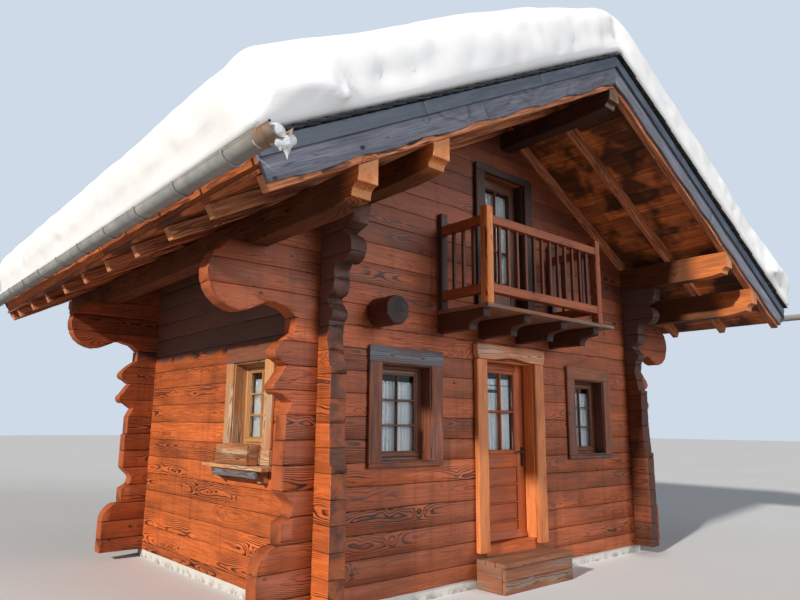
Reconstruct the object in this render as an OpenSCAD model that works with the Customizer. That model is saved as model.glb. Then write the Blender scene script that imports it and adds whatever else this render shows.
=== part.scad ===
// Small log chalet with a snow-covered gable roof, a front balcony and an entrance door.
// Millimetres. +Z up, the front gable faces -Y, the origin is on the ground in the middle.

/* [House] */
// Width over the side walls
house_w = 5420; // [4900:10:6000]
// Depth over the front and back walls
house_d = 4010; // [3600:10:4600]
// Thickness of the log walls
wall_t = 180; // [150:5:210]
// Height of one course of logs
course_h = 212; // [195:1:230]
// Courses between the sill log and the foot of the gable
low_courses = 9; // [8:1:10]
// Height of the whitewashed plinth
plinth_h = 100; // [60:5:160]
// Setback of the plinth behind the wall faces
plinth_set = 20; // [0:5:50]
// Top of the front and back sill logs above the ground
sill_top = 682; // [620:1:740]
// Depth of the grooves between the logs
groove = 9; // [5:1:14]
// Top of the ground floor above the ground
floor_top = 410; // [380:5:440]
// Thickness of the ground floor
floor_t = 120; // [60:5:200]

/* [Log ends] */
// Reach of the straight log ends past the side walls
end_reach = 305; // [260:5:340]
// Reach of the side walls' log ends past the front and back walls
cross_reach = 225; // [180:5:260]
// Reach of the sill logs past the side walls
sill_reach = 510; // [440:5:560]
// Reach of the carved brackets that carry the eave purlins
bracket_reach = 1083; // [1030:1:1160]

/* [Roof] */
// Slope of the roof in degrees
roof_pitch = 28.15; // [26:0.05:30]
// Height of the rafters' underside over the gable's foot, at the wall faces
plate_rise = 1219; // [1150:1:1300]
// Overhang of the rafters past the side walls
eave_over = 1400; // [1300:10:1500]
// Overhang of the rafters past the front and back walls
gable_over = 1500; // [1350:10:1600]
// Width of a rafter
rafter_w = 90; // [70:5:120]
// Depth of a rafter
rafter_h = 120; // [100:5:150]
// Spacing of the rafters
rafter_gap = 727; // [650:1:800]
// Thickness of the roof boards
boards_t = 30; // [20:1:40]
// Thickness of the layer of battens over the boards
batten_t = 160; // [120:5:200]
// Setback of the batten layer at the eaves
batten_set = 90; // [60:5:130]
// Thickness of the slate covering
cover_t = 35; // [25:1:50]
// Reach of the covering past the front faces of the rafters
cover_over = 110; // [90:5:140]
// Height of the grey verge board's foot over the rafters' underside
verge_low = 45; // [30:1:100]
// Height of the grey verge board
verge_h = 197; // [130:1:240]
// Lap of the fascia over the verge board
fascia_lap = 40; // [20:5:60]
// Thickness of the verge board and of the fascia
verge_t = 30; // [22:1:40]
// Length of one wave of the verge board's lower edge
verge_wave = 620; // [450:10:900]
// Depth of those waves
verge_wave_h = 22; // [10:1:35]
// Width of a purlin
purlin_w = 180; // [150:5:200]
// Height of the ridge purlin
ridge_h = 250; // [200:5:300]
// Height of the plain upper part of a purlin's carved end
purlin_lip = 110; // [80:5:130]
// Length of the long curve under a purlin's carved end
purlin_sweep = 340; // [250:10:450]
// Distance of the eave purlins' middle from the side walls' faces
eave_purlin_out = 630; // [560:5:700]
// Thickness of the snow on the roof
snow_t = 610; // [300:10:700]
// Reach of the snow past the covering at the gables
snow_over = 35; // [10:5:60]
// Reach of the snow past the covering at the eaves
snow_eave_over = 150; // [60:10:150]

/* [Gutters] */
// Outer radius of the half-round gutters
gutter_r = 80; // [65:1:95]
// Thickness of the gutters' sheet
gutter_t = 4; // [3:0.5:8]
// Reach of the gutters past the rafters' front faces
gutter_over = 500; // [250:5:560]
// Rise of the gutters from front to back
gutter_fall = 70; // [0:5:90]
// Width of a gutter strap
gutter_strap_w = 30; // [20:1:40]
// Thickness of a gutter strap
gutter_strap_t = 6; // [4:0.5:8]
// Reach of a gutter strap under the covering
strap_tail = 80; // [50:1:84]

/* [Windows] */
// Width of a window opening
window_w = 660; // [560:5:740]
// Height of a front window opening
window_h = 950; // [800:5:1050]
// Height of a side window opening
side_window_h = 865; // [750:5:1000]
// Width of the casing boards
casing_w = 160; // [110:5:170]
// Height of the casing's foot board at the front and back windows
casing_foot = 45; // [30:5:160]
// Stand-off of the casings from the wall
casing_out = 35; // [20:1:50]
// Bottom of the front window openings above the ground
window_sill = 1310; // [1200:5:1400]
// Bottom of the side window openings above the ground
side_window_sill = 1430; // [1300:5:1500]
// Middle of the left front window from the house's middle
left_window_x = -1640; // [-1700:5:-1560]
// Middle of the right front window from the house's middle
right_window_x = 1555; // [1500:5:1680]
// Distance of the side windows from the house's middle towards the front
side_window_y = 805; // [500:5:900]
// Depth of the sashes behind the wall face
sash_in = 120; // [80:5:125]
// Thickness of the window frames and sashes
sash_t = 50; // [35:1:60]
// Width of the window frame and sash stiles together
sash_w = 100; // [70:2:110]
// Thickness of the glass
glass_t = 6; // [4:1:10]
// Width of the glazing bars
bar_w = 22; // [16:1:30]
// Length of the sill shelf at the left side window
shelf_l = 1240; // [1100:10:1400]
// Reach of that shelf from the wall
shelf_out = 190; // [150:5:240]
// Height of the planter on it
planter_h = 200; // [120:5:240]

/* [Entrance] */
// Middle of the entrance from the house's middle
door_x = -55; // [-150:5:60]
// Width of the doorway
door_w = 850; // [780:5:920]
// Height of the doorway above the floor
door_h = 1980; // [1900:5:2050]
// Thickness of the door leaf
leaf_t = 50; // [40:1:60]
// Depth of the leaf behind the wall face
leaf_in = 125; // [100:5:128]
// Clearance round the door leaf
leaf_gap = 8; // [8:0.5:12]
// Width of the door posts
post_w = 170; // [130:5:190]
// Stand-off of the door posts from the wall
post_out = 60; // [40:5:80]
// Height of the carved door header
header_h = 170; // [140:5:190]
// Top of the door step above the ground
step_top = 300; // [240:5:360]
// Depth of the door step
step_d = 330; // [250:10:420]

/* [Balcony] */
// Left end of the balcony from the house's middle
balcony_left = -1193; // [-1250:1:-1150]
// Right end of the balcony from the house's middle
balcony_right = 859; // [800:1:950]
// Reach of the balcony floor past the right post
deck_over = 250; // [100:10:300]
// Reach of the balcony from the front wall
balcony_out = 704; // [600:1:800]
// Top of the balcony floor above the gable's foot
balcony_up = 271; // [250:1:290]
// Thickness of the balcony boards
deck_t = 40; // [30:1:50]
// Width of a balcony beam
beam_w = 110; // [90:5:130]
// Height of a balcony beam
beam_h = 200; // [170:5:220]
// Number of balcony beams
beams = 4; // [3:1:5]
// Height of the hand rail over the balcony floor
rail_up = 920; // [850:10:1000]
// Height of the bottom rail over the balcony floor
low_rail_up = 205; // [150:5:240]
// Side of the rails
rail_w = 90; // [60:1:95]
// Side of the balcony posts
stile_w = 95; // [95:1:110]
// Side of a baluster
baluster_w = 34; // [26:1:42]
// Balusters along the front
front_balusters = 12; // [8:1:14]
// Balusters along each side
side_balusters = 3; // [2:1:4]
// Middle of the balcony door from the house's middle
loft_door_x = -85; // [-120:5:60]
// Width of the balcony door's opening
loft_door_w = 740; // [680:5:800]
// Height of the balcony door's opening over the balcony floor
loft_door_h = 1760; // [1700:5:1800]
// Middle of the octagonal joist end from the house's middle
joist_x = -2020; // [-2060:5:-1950]
// Width of the octagonal joist end
joist_w = 270; // [220:5:290]
// Reach of the octagonal joist end
joist_out = 310; // [250:5:380]

/* [Hidden] */
$fn = 48;

half_w = house_w / 2;
half_d = house_d / 2;
slope = tan(roof_pitch);
gable_foot = sill_top + low_courses * course_h;
plate_z = gable_foot + plate_rise;
ridge_z = plate_z + half_w * slope;
bracket_courses = 3;
bracket_top = gable_foot + bracket_courses * course_h - 46;
plate_foot = plate_z - course_h;
cross_foot = floor_top - 4;
balcony_top = gable_foot + balcony_up;
beam_foot = balcony_top - deck_t - beam_h;
eave_x = half_w + eave_over;
roof_half = half_d + gable_over;
outer_half = roof_half + cover_over;
stack_h = rafter_h + boards_t + batten_t;
tilt_x = sin(roof_pitch);
tilt_z = cos(roof_pitch);

function roof_z(x) = ridge_z - abs(x) * slope;
// Heights of the grooves between two levels, for logs whose joints start at a base level
function seams(base, low, high) =
    [for (k = [-3 : 20]) let (z = base + k * course_h) if (z > low + 2 * groove && z < high - 2 * groove) z];
// Points of an arc in the plane of a profile
function arc(c, r, from, to, n = 6) = [for (i = [0 : n]) let (a = from + (to - from) * i / n)
    [c[0] + r * cos(a), c[1] + r * sin(a)]];
function flip(points) = [for (i = [len(points) - 1 : -1 : 0]) [-points[i][0], points[i][1]]];
function shift_x(points, d) = [for (p = points) [p[0] + d, p[1]]];

// An outline of x and z, given a thickness along y from y0
module upright(y0, t) translate([0, y0 + t, 0]) rotate([90, 0, 0]) linear_extrude(t) children();
// An outline of y and z, given a length along x from x0
module lengthwise(x0, l) translate([x0, 0, 0]) rotate([90, 0, 90]) linear_extrude(l) children();
module box(x0, x1, y0, y1, z0, z1) translate([x0, y0, z0]) cube([x1 - x0, y1 - y0, z1 - z0]);

// The walls' own frames: the wall's outer face is y = 0 and -y is outwards
module at_front() translate([0, -half_d, 0]) children();
module at_back() rotate([0, 0, 180]) at_front() children();
module at_left() rotate([0, 0, -90]) translate([0, -half_w, 0]) children();
module at_right() rotate([0, 0, 90]) translate([0, -half_w, 0]) children();

// Profile of the stacked front log ends, as reach past the side wall and height
function low_ends() = let (z = sill_top, c = course_h, e = end_reach, r = sill_reach - end_reach) concat(
    [[sill_reach, plinth_h], [sill_reach, z - r]],
    arc([end_reach, z - r], r, 15, 90, 5),
    [[e, z + 0.8 * c]],
    arc([e, z + 1.35 * c], 0.5 * c, -110, -200, 4),
    [[e + 10, z + 2 * c], [e + 10, z + 4 * c], [e - 10, z + 4 * c], [e - 10, z + 5 * c]],
    [[e - 60, z + 5.5 * c]],
    arc([e + 60, z + 6.1 * c], 62, -110, 60, 6),
    [[e, z + 7 * c]],
    arc([e + 70, z + 7.5 * c], 55, -90, 60, 6),
    [[e + 20, z + 8.1 * c], [e - 60, z + 8.4 * c], [e - 60, z + low_courses * c]]);

// Profile of the big bracket over them, from the gable's foot to the purlin's seat
function bracket_ends() = let (z = gable_foot, b = bracket_reach, h = bracket_top - gable_foot) concat(
    [[end_reach - 80, z]],
    [[end_reach + 20, z + 0.13 * h]],
    arc([end_reach + 170, z - 0.10 * h], 0.29 * h, 115, 50, 4),
    arc([b - 300, z + 0.52 * h], 300, -105, 35, 9),
    [[b - 90, z + 0.84 * h], [b - 180, z + h]]);

// Profile of the side walls' log ends past the front wall
function cross_ends() = let (q = cross_reach, z = sill_top, c = course_h) concat(
    [[q + 25, plinth_h], [q + 25, z + 3 * c], [q, z + 3 * c], [q - 20, z + 5 * c]],
    [[q - 10, z + 7 * c], [q - 40, z + 7 * c], [q - 85, z + 8.2 * c]],
    arc([q - 70, z + 9.2 * c], 60, -80, 70, 5),
    [[q - 110, z + 9.9 * c]],
    arc([q - 90, z + 10.4 * c], 90, -90, 0, 4),
    [[q, z + 11.1 * c]],
    arc([q + 115, z + 11.9 * c], 130, -125, 50, 8),
    [[q + 100, z + 12.6 * c], [q + 260, z + 12.9 * c], [q + 300, plate_foot]]);

// Cross-section of a log wall: y from the outer face, z up, grooved between the logs
module log_section(z0, z_out, z_in, base) {
    joints = seams(base, z0, min(z_out, z_in));
    outer = [for (z = joints) each [[0, z - groove], [groove, z], [0, z + groove]]];
    inner = [for (i = [len(joints) - 1 : -1 : 0]) let (z = joints[i])
             each [[wall_t, z + groove], [wall_t - groove, z], [wall_t, z - groove]]];
    polygon(concat([[0, z0]], outer, [[0, z_out], [wall_t, z_in]], inner, [[wall_t, z0]]));
}
// A log wall over an outline, grooved from a base level
module log_wall(z0, z1, base) intersection() {
    lengthwise(-2 * half_w, 4 * half_w) log_section(z0, z1, z1, base);
    upright(-1, wall_t + 2) children();
}

module window_hole(x, sill, h) translate([x - window_w / 2, sill]) square([window_w, h]);
door_left = door_x - door_w / 2;
door_right = door_x + door_w / 2;
door_top = floor_top + door_h;

module front_wall_left() color("sienna") at_front() log_wall(plinth_h, gable_foot, sill_top) difference() {
    polygon(concat(flip(shift_x(low_ends(), half_w)), [[door_left, plinth_h], [door_left, gable_foot]]));
    window_hole(left_window_x, window_sill, window_h);
}
module front_wall_right() color("sienna") at_front() log_wall(plinth_h, gable_foot, sill_top) difference() {
    polygon(concat([[door_right, gable_foot], [door_right, plinth_h]], shift_x(low_ends(), half_w)));
    window_hole(right_window_x, window_sill, window_h);
}
module door_threshold() color("saddlebrown") at_front()
    box(door_left, door_right, 0, wall_t, plinth_h, floor_top);
module front_wall_over_door() color("sienna") at_front() log_wall(door_top, gable_foot, sill_top)
    translate([door_left, door_top]) square([door_w, gable_foot - door_top]);

// Outline of a gable, with its brackets, seated under the rafters and round the purlins
module gable_outline() {
    purlin_face = half_w + eave_purlin_out - purlin_w / 2;
    side = concat(shift_x(bracket_ends(), half_w),
                  [[purlin_face, bracket_top], [purlin_face, roof_z(purlin_face)], [half_w, roof_z(half_w)],
                   [half_w, plate_foot], [half_w - purlin_w, plate_foot],
                   [half_w - purlin_w, roof_z(half_w - purlin_w)]]);
    top = [[purlin_w / 2, roof_z(purlin_w / 2)], [purlin_w / 2, ridge_z - ridge_h]];
    right = concat(side, top);
    polygon(concat(right, flip(right)));
}
module gable(holes) log_wall(gable_foot, ridge_z, sill_top) difference() {
    gable_outline();
    children();
}
function beam_x(i) = balcony_left + beam_w / 2 + i * (balcony_right - balcony_left - beam_w) / (beams - 1);
module front_gable() color("sienna") at_front() gable() {
    for (i = [0 : beams - 1]) translate([beam_x(i) - beam_w / 2, beam_foot]) square([beam_w, beam_h]);
    translate([loft_door_x - loft_door_w / 2, balcony_top]) square([loft_door_w, loft_door_h]);
}
back_window_sill = gable_foot + 3 * course_h;
module back_gable() color("sienna") at_back() gable() window_hole(0, back_window_sill, side_window_h);
module back_wall() color("sienna") at_back() log_wall(plinth_h, gable_foot, sill_top) difference() {
    right = shift_x(low_ends(), half_w);
    polygon(concat(right, flip(right)));
    window_hole(-left_window_x, window_sill, window_h);
    window_hole(-right_window_x, window_sill, window_h);
}

// A side wall between the gable walls, and its log ends past them, up to the plate purlin
module side_wall(window_x) {
    log_wall(plinth_h, plate_foot, cross_foot) difference() {
        translate([wall_t - half_d, plinth_h]) square([house_d - 2 * wall_t, plate_foot - plinth_h]);
        window_hole(window_x, side_window_sill, side_window_h);
    }
    for (s = [-1, 1]) log_wall(plinth_h, plate_foot, cross_foot) mirror([s < 0 ? 1 : 0, 0])
        polygon(concat([[half_d, plate_foot], [half_d, plinth_h]], shift_x(cross_ends(), half_d)));
}
module left_wall() color("chocolate") at_left() side_wall(side_window_y);
module right_wall() color("chocolate") at_right() side_wall(-side_window_y);

// Whitewashed plinth under the walls, and the floors between them
module plinth() color("whitesmoke") difference() {
    box(plinth_set - half_w, half_w - plinth_set, plinth_set - half_d, half_d - plinth_set, 0, plinth_h);
    between_walls(-1, plinth_h + 1);
}
module between_walls(low, high)
    box(wall_t - half_w, half_w - wall_t, wall_t - half_d, half_d - wall_t, low, high);
module ground_floor() color("burlywood") between_walls(floor_top - floor_t, floor_top);
module upper_floor() color("burlywood") between_walls(balcony_top - deck_t, balcony_top);

// Purlins: their tops follow the rafters' undersides
// Side view of a purlin whose two ends are carved: a plain lip, a cove, a nib and a long curve
purlin_nib = 12;
module purlin_side(low, lip_z) {
    r = 0.6 * (lip_z - low);
    nib_z = lip_z - r - purlin_nib;
    curve = [for (i = [1 : 5]) [roof_half - r - purlin_nib - purlin_sweep * i / 5,
                                low + (nib_z - low) * (1 - sin(18 * i))]];
    half = concat([[roof_half, ridge_z], [roof_half, lip_z]], arc([roof_half, lip_z - r], r, 90, 180, 5),
                  [[roof_half - r, nib_z], [roof_half - r - purlin_nib, nib_z]], curve);
    polygon(concat(half, flip(half)));
}
module purlin(x0, x1, low) intersection() {
    lengthwise(x0, x1 - x0) purlin_side(low, roof_z(max(abs(x0), abs(x1))) - purlin_lip);
    upright(-2 * roof_half, 4 * roof_half)
        polygon([[x0, low], [x1, low], [x1, roof_z(x1)],
                 [x0 < 0 && x1 > 0 ? 0 : x0, roof_z(x0 < 0 && x1 > 0 ? 0 : x0)], [x0, roof_z(x0)]]);
}
module ridge_purlin() color("peru") purlin(-purlin_w / 2, purlin_w / 2, ridge_z - ridge_h);
module both_sides() for (s = [0, 1]) mirror([s, 0, 0]) children();
module both_gables() for (s = [0, 1]) mirror([0, s, 0]) children();
module plate_purlins() color("peru") both_sides() purlin(half_w - purlin_w, half_w, plate_foot);
module eave_purlins() color("peru") both_sides()
    purlin(half_w + eave_purlin_out - purlin_w / 2, half_w + eave_purlin_out + purlin_w / 2, bracket_top);

// One layer of the right roof slope, between two depths over the rafters' underside
module slope_layer(low, high, eave, y0, y1, start = 0) upright(y0, y1 - y0) polygon([
    [start, roof_z(start) + low / tilt_z], [eave + low * tilt_x, roof_z(eave) + low * tilt_z],
    [eave + high * tilt_x, roof_z(eave) + high * tilt_z], [start, roof_z(start) + high / tilt_z]]);
layer_gap = 0.1;
boards_out = 25;
rafters = floor((2 * roof_half - 3 * rafter_w) / rafter_gap);
rafter_y = concat([for (i = [0 : rafters]) -roof_half + rafter_w / 2 + i * rafter_gap],
                  [roof_half - rafter_w / 2]);
module right_rafters() color("chocolate") for (y = rafter_y)
    slope_layer(0, rafter_h, eave_x, y - rafter_w / 2, y + rafter_w / 2);
module left_rafters() mirror([1, 0, 0]) right_rafters();
module right_roof_boards() color("chocolate")
    slope_layer(rafter_h + layer_gap, rafter_h + boards_t, eave_x + boards_out, -roof_half, roof_half);
module left_roof_boards() mirror([1, 0, 0]) right_roof_boards();
module right_batten_layer() color("dimgray")
    slope_layer(rafter_h + boards_t + layer_gap, stack_h, eave_x - batten_set, -roof_half, roof_half);
module left_batten_layer() mirror([1, 0, 0]) right_batten_layer();
module right_covering() color("darkslategray")
    slope_layer(stack_h + layer_gap, stack_h + cover_t, eave_x, -outer_half, outer_half);
module left_covering() mirror([1, 0, 0]) right_covering();

// The grey verge board with its wavy lower edge, and the slate-blue fascia over it
verge_top = verge_low + verge_h;
wave_steps = floor((eave_x + verge_low * tilt_x) / (verge_wave / 8));
// Depth of the verge board's wave at a distance from the ridge
function wave(x) = verge_wave_h * (1 + cos(360 * x / verge_wave)) / 2;
// A board along both slopes, between two depths over the rafters' underside, with its own lower edge
module verge(low, high, under) {
    half = concat(under, [[eave_x + low * tilt_x, roof_z(eave_x) + low * tilt_z],
                          [eave_x + high * tilt_x, roof_z(eave_x) + high * tilt_z]]);
    polygon(concat(half, [[0, ridge_z + high / tilt_z]],
                   [for (i = [len(half) - 1 : -1 : 1]) [-half[i][0], half[i][1]]]));
}
module verge_boards() color("slategray") both_gables() upright(-roof_half - verge_t, verge_t)
    verge(verge_low, verge_top, [for (i = [0 : wave_steps]) let (x = i * verge_wave / 8)
                                 [x, roof_z(x) + verge_low / tilt_z - wave(x)]]);
module fascias() color("darkslateblue") both_gables() upright(-roof_half - 2 * verge_t, verge_t)
    verge(verge_top - fascia_lap, stack_h, [[0, ridge_z + (verge_top - fascia_lap) / tilt_z]]);

// Half-round gutters, falling towards the front, and the straps that carry them
strap_clear = 0.5;
strap_r = gutter_r + strap_clear + gutter_strap_t;
gutter_x = eave_x + stack_h * tilt_x + gutter_r + 2;
gutter_z = roof_z(eave_x) + stack_h * tilt_z - 12;
gutter_half = roof_half + gutter_over;
gutter_lean = atan(gutter_fall / (2 * gutter_half));
module half_ring(r, t, l) rotate([90, 0, 0]) linear_extrude(l) difference() {
    circle(r);
    circle(r - t);
    translate([-r - 1, 0]) square([2 * r + 2, r + 1]);
}
// Height of the gutter's rim at a place along it
function rim_z(y) = gutter_z - gutter_fall / 2 + y * tan(gutter_lean);
module gutters() color("silver") both_sides()
    translate([gutter_x, 0, gutter_z - gutter_fall / 2]) rotate([gutter_lean, 0, 0])
    translate([0, gutter_half / cos(gutter_lean), 0])
    half_ring(gutter_r, gutter_t, 2 * gutter_half / cos(gutter_lean));
// A strap round the gutter, up its inner side and back under the covering
module gutter_strap(y) union() {
    inner = gutter_x - strap_r;
    top = roof_z(inner) + (stack_h - strap_clear) / tilt_z;
    translate([gutter_x, y + gutter_strap_w / 2, rim_z(y)])
        half_ring(strap_r, gutter_strap_t, gutter_strap_w);
    upright(y - gutter_strap_w / 2, gutter_strap_w) polygon([
        [inner, rim_z(y) - 1], [inner + gutter_strap_t, rim_z(y) - 1],
        [inner + gutter_strap_t, top - gutter_strap_t * slope], [inner, top],
        [inner - strap_tail, top + strap_tail * slope],
        [inner - strap_tail, top + strap_tail * slope - gutter_strap_t], [inner, top - gutter_strap_t]]);
}
module gutter_straps() color("gray") both_sides() for (y = rafter_y) gutter_strap(y);

// Snow lying on both slopes, rounded at the ridge, the eaves and the gable edges
snow_base = stack_h + cover_t + layer_gap;
snow_foot = snow_base / tilt_z;
snow_ridge_r = 600;
snow_eave_r = 0.70 * snow_t;
snow_gable_r = 0.5 * snow_t;
snow_lip = 60;
snow_under = 40;
module snow_blanket() color("white") both_sides() intersection() {
    snow_section();
    translate([0, 0, ridge_z + snow_foot]) rotate([0, roof_pitch, 0])
        lengthwise(-snow_t, 2 * eave_x) snow_edge();
    box(0, 2 * eave_x, -2 * outer_half, 2 * outer_half, 0, 3 * ridge_z);
}
module snow_section() {
    edge = eave_x + (stack_h + cover_t) * tilt_x;
    foot = edge + snow_over;
    bulge_x = edge + snow_eave_over - snow_eave_r;
    bulge_z = roof_z(bulge_x) + (snow_base + snow_t - snow_eave_r) / tilt_z;
    ridge_c = ridge_z + snow_foot + (snow_t - snow_ridge_r) / tilt_z;
    upright(-2 * outer_half, 4 * outer_half) polygon(concat(
        [[0, ridge_z + snow_foot], [foot, roof_z(foot) + snow_foot]],
        arc([bulge_x, bulge_z], snow_eave_r, -20, 90 - roof_pitch, 7),
        arc([0, ridge_c], snow_ridge_r, 90 - roof_pitch, 90, 5),
        [[-10, ridge_c + snow_ridge_r], [-10, ridge_z + snow_foot]]));
}
module snow_edge() {
    e = outer_half + snow_over;
    half = concat([[e - snow_under, 0], [e, snow_lip]],
                  arc([e - snow_gable_r, snow_t - snow_gable_r], snow_gable_r, 0, 90, 6));
    polygon(concat(half, flip(half)));
}

// A window in a wall's own frame: casing, sash with bars, and glass
module casing(h, foot) difference() {
    box(-window_w / 2 - casing_w, window_w / 2 + casing_w, -casing_out, 0, -foot, h + casing_w);
    box(-window_w / 2, window_w / 2, -casing_out - 1, 1, 0, h);
}
module sash(h) translate([0, sash_in, 0]) difference() {
    box(-window_w / 2, window_w / 2, 0, sash_t, 0, h);
    for (i = [0, 1], j = [0 : 2]) {
        pane_w = (window_w - 2 * sash_w - bar_w) / 2;
        pane_h = (h - 2 * sash_w - 2 * bar_w) / 3;
        x0 = -window_w / 2 + sash_w + i * (pane_w + bar_w);
        z0 = sash_w + j * (pane_h + bar_w);
        box(x0, x0 + pane_w, -1, sash_t / 2, z0, z0 + pane_h);
        box(x0, x0 + pane_w, sash_t / 2 + glass_t, sash_t + 1, z0, z0 + pane_h);
    }
    box(-window_w / 2 + sash_w, window_w / 2 - sash_w, sash_t / 2, sash_t / 2 + glass_t, sash_w, h - sash_w);
}
module pane(h) translate([0, sash_in + sash_t / 2, 0])
    box(-window_w / 2 + sash_w, window_w / 2 - sash_w, 0, glass_t, sash_w, h - sash_w);
module each_window() {
    at_front() {
        translate([left_window_x, 0, window_sill]) children(0);
        translate([right_window_x, 0, window_sill]) children(0);
    }
    at_back() {
        translate([-left_window_x, 0, window_sill]) children(0);
        translate([-right_window_x, 0, window_sill]) children(0);
        translate([0, 0, back_window_sill]) children(1);
    }
    at_left() translate([side_window_y, 0, side_window_sill]) children(1);
    at_right() translate([-side_window_y, 0, side_window_sill]) children(1);
}
module window_casings() color("sienna") each_window() {
    casing(window_h, casing_foot);
    casing(side_window_h, casing_w);
}
module window_sashes() color("sienna") each_window() {
    sash(window_h);
    sash(side_window_h);
}
module window_panes() color("lightblue") {
    each_window() {
        pane(window_h);
        pane(side_window_h);
    }
    at_front() translate([loft_door_x, loft_door_in + (leaf_t - glass_t) / 2, balcony_top])
        box(-loft_light_w / 2, loft_light_w / 2, 0, glass_t, loft_light_low, loft_light_high);
}
// Sill shelf with its planter and two brackets, under the left side window
shelf_t = 40;
shelf_bracket = [60, 90, 120];
module window_shelf() color("peru") at_left() translate([side_window_y, 0, side_window_sill - casing_w])
    union() {
        box(-shelf_l / 2, shelf_l / 2, -shelf_out, 0, -shelf_t, 0);
        box(-window_w / 2, window_w / 2, -shelf_out + 10, -casing_out, 0, planter_h);
        for (x = [-shelf_l / 3, shelf_l / 3]) box(x - shelf_bracket[0] / 2, x + shelf_bracket[0] / 2,
            -shelf_bracket[1], 0, -shelf_t - shelf_bracket[2], -shelf_t);
    }

// Entrance: posts and header outside the doorway, the leaf inside it
post_below = 60;
module door_posts() color("peru") at_front() for (s = [-1, 1])
    translate([door_x + s * (door_w + post_w) / 2, 0, 0])
    box(-post_w / 2, post_w / 2, -post_out, 0, floor_top - post_below, door_top);
// The header stands out past the posts, with notched ends and an arched lower edge
header_out = 15;
header_past = 10;
header_notch = [30, 60];
header_arch = 18;
module door_header() color("peru") at_front() upright(-post_out - header_out, post_out + header_out) {
    w = door_w / 2 + post_w + header_past;
    half = concat([[0, door_top + header_h], [w, door_top + header_h], [w, door_top + header_notch[1]],
                   [w - header_notch[0], door_top], [door_w / 2, door_top]],
                  [for (i = [6 : -1 : 0]) [i * door_w / 12, door_top + header_arch * (1 + cos(i * 30))]]);
    mirrored = [for (i = [len(half) - 2 : -1 : 1]) [-half[i][0], half[i][1]]];
    translate([door_x, 0]) polygon(concat(half, mirrored));
}
leaf_w = door_w - 2 * leaf_gap;
leaf_h = door_h - 2 * leaf_gap;
light_w = 450;
light_low = 975;
light_high = 1840;
hinge_z = [300, 1650];
knuckle_r = 10;
pin_r = 6;
knuckle_h = 36;
knuckle_gap = 2;
pin_gap = 0.3;
// The hinge line, in the front wall's frame
axis_x = door_left + 6;
axis_y = wall_t + 15;
module at_hinges() at_front() for (z = hinge_z) translate([axis_x, axis_y, floor_top + z]) children();
// Pins and knuckles on plates on the inner face of the wall
hinge_plate = [80, 5];
module door_hinges() color("dimgray") at_hinges() {
    cylinder(r = pin_r, h = 3 * knuckle_h, center = true);
    for (s = [-1, 1]) translate([0, 0, s * (knuckle_h + knuckle_gap)]) {
        cylinder(r = knuckle_r, h = knuckle_h, center = true);
        translate([-knuckle_r, wall_t - axis_y, -knuckle_h / 2])
            cube([knuckle_r, axis_y - wall_t, knuckle_h]);
        translate([-knuckle_r - 1, wall_t - axis_y, -knuckle_h / 2]) cube([2, hinge_plate[1], knuckle_h]);
    }
    translate([-hinge_plate[0], wall_t - axis_y, -1.5 * knuckle_h - knuckle_gap])
        cube([hinge_plate[0] - knuckle_r, hinge_plate[1], 3 * knuckle_h + 2 * knuckle_gap]);
}
strap_l = 420;
strap_t = 5;
lug_w = 12;
handle_up = 900;
handle_in = 60;
handle_plate = [40, 4, 220];
spindle_r = 9;
spindle_l = 50;
lever = [120, 14, 2 * spindle_r];
lever_up = 60;
// Strap hinges and lever handles on the leaf
module door_ironwork() color("dimgray") {
    leaf_back = leaf_in + leaf_t - axis_y;
    at_hinges() difference() {
        union() {
            cylinder(r = knuckle_r, h = knuckle_h, center = true);
            translate([leaf_gap - lug_w / 2, leaf_back, -knuckle_h / 2]) {
                cube([lug_w, -leaf_back, knuckle_h]);
                cube([strap_l, strap_t, knuckle_h]);
            }
        }
        cylinder(r = pin_r + pin_gap, h = 2 * knuckle_h, center = true);
    }
    at_front() translate([door_right - leaf_gap - handle_in, leaf_in + leaf_t / 2, floor_top + handle_up])
        for (s = [0, 1]) mirror([0, s, 0]) translate([0, -leaf_t / 2, 0]) {
            translate([-handle_plate[0] / 2, -handle_plate[1], -handle_plate[2] / 2]) cube(handle_plate);
            translate([0, 0, lever_up]) rotate([90, 0, 0]) cylinder(r = spindle_r, h = spindle_l);
            translate([lever_up / 6 - lever[0], -spindle_l, lever_up - spindle_r]) cube(lever);
        }
}
module door_leaf() color("chocolate") at_front()
    translate([door_x, leaf_in, floor_top + leaf_gap]) difference() {
        box(-leaf_w / 2, leaf_w / 2, 0, leaf_t, 0, leaf_h);
        box(-light_w / 2, light_w / 2, -1, leaf_t + 1, light_low, light_high);
    }
module door_glass() color("lightblue") at_front()
    translate([door_x, leaf_in + leaf_t / 2 - glass_t / 2, floor_top + leaf_gap])
    box(-light_w / 2, light_w / 2, 0, glass_t, light_low, light_high);
module door_step() color("peru") at_front() difference() {
    box(door_left - post_w, door_right + post_w, -step_d - post_out, 0, 0, step_top);
    box(door_left, door_right, -step_d, 1, -1, step_top - 45);
}

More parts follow.
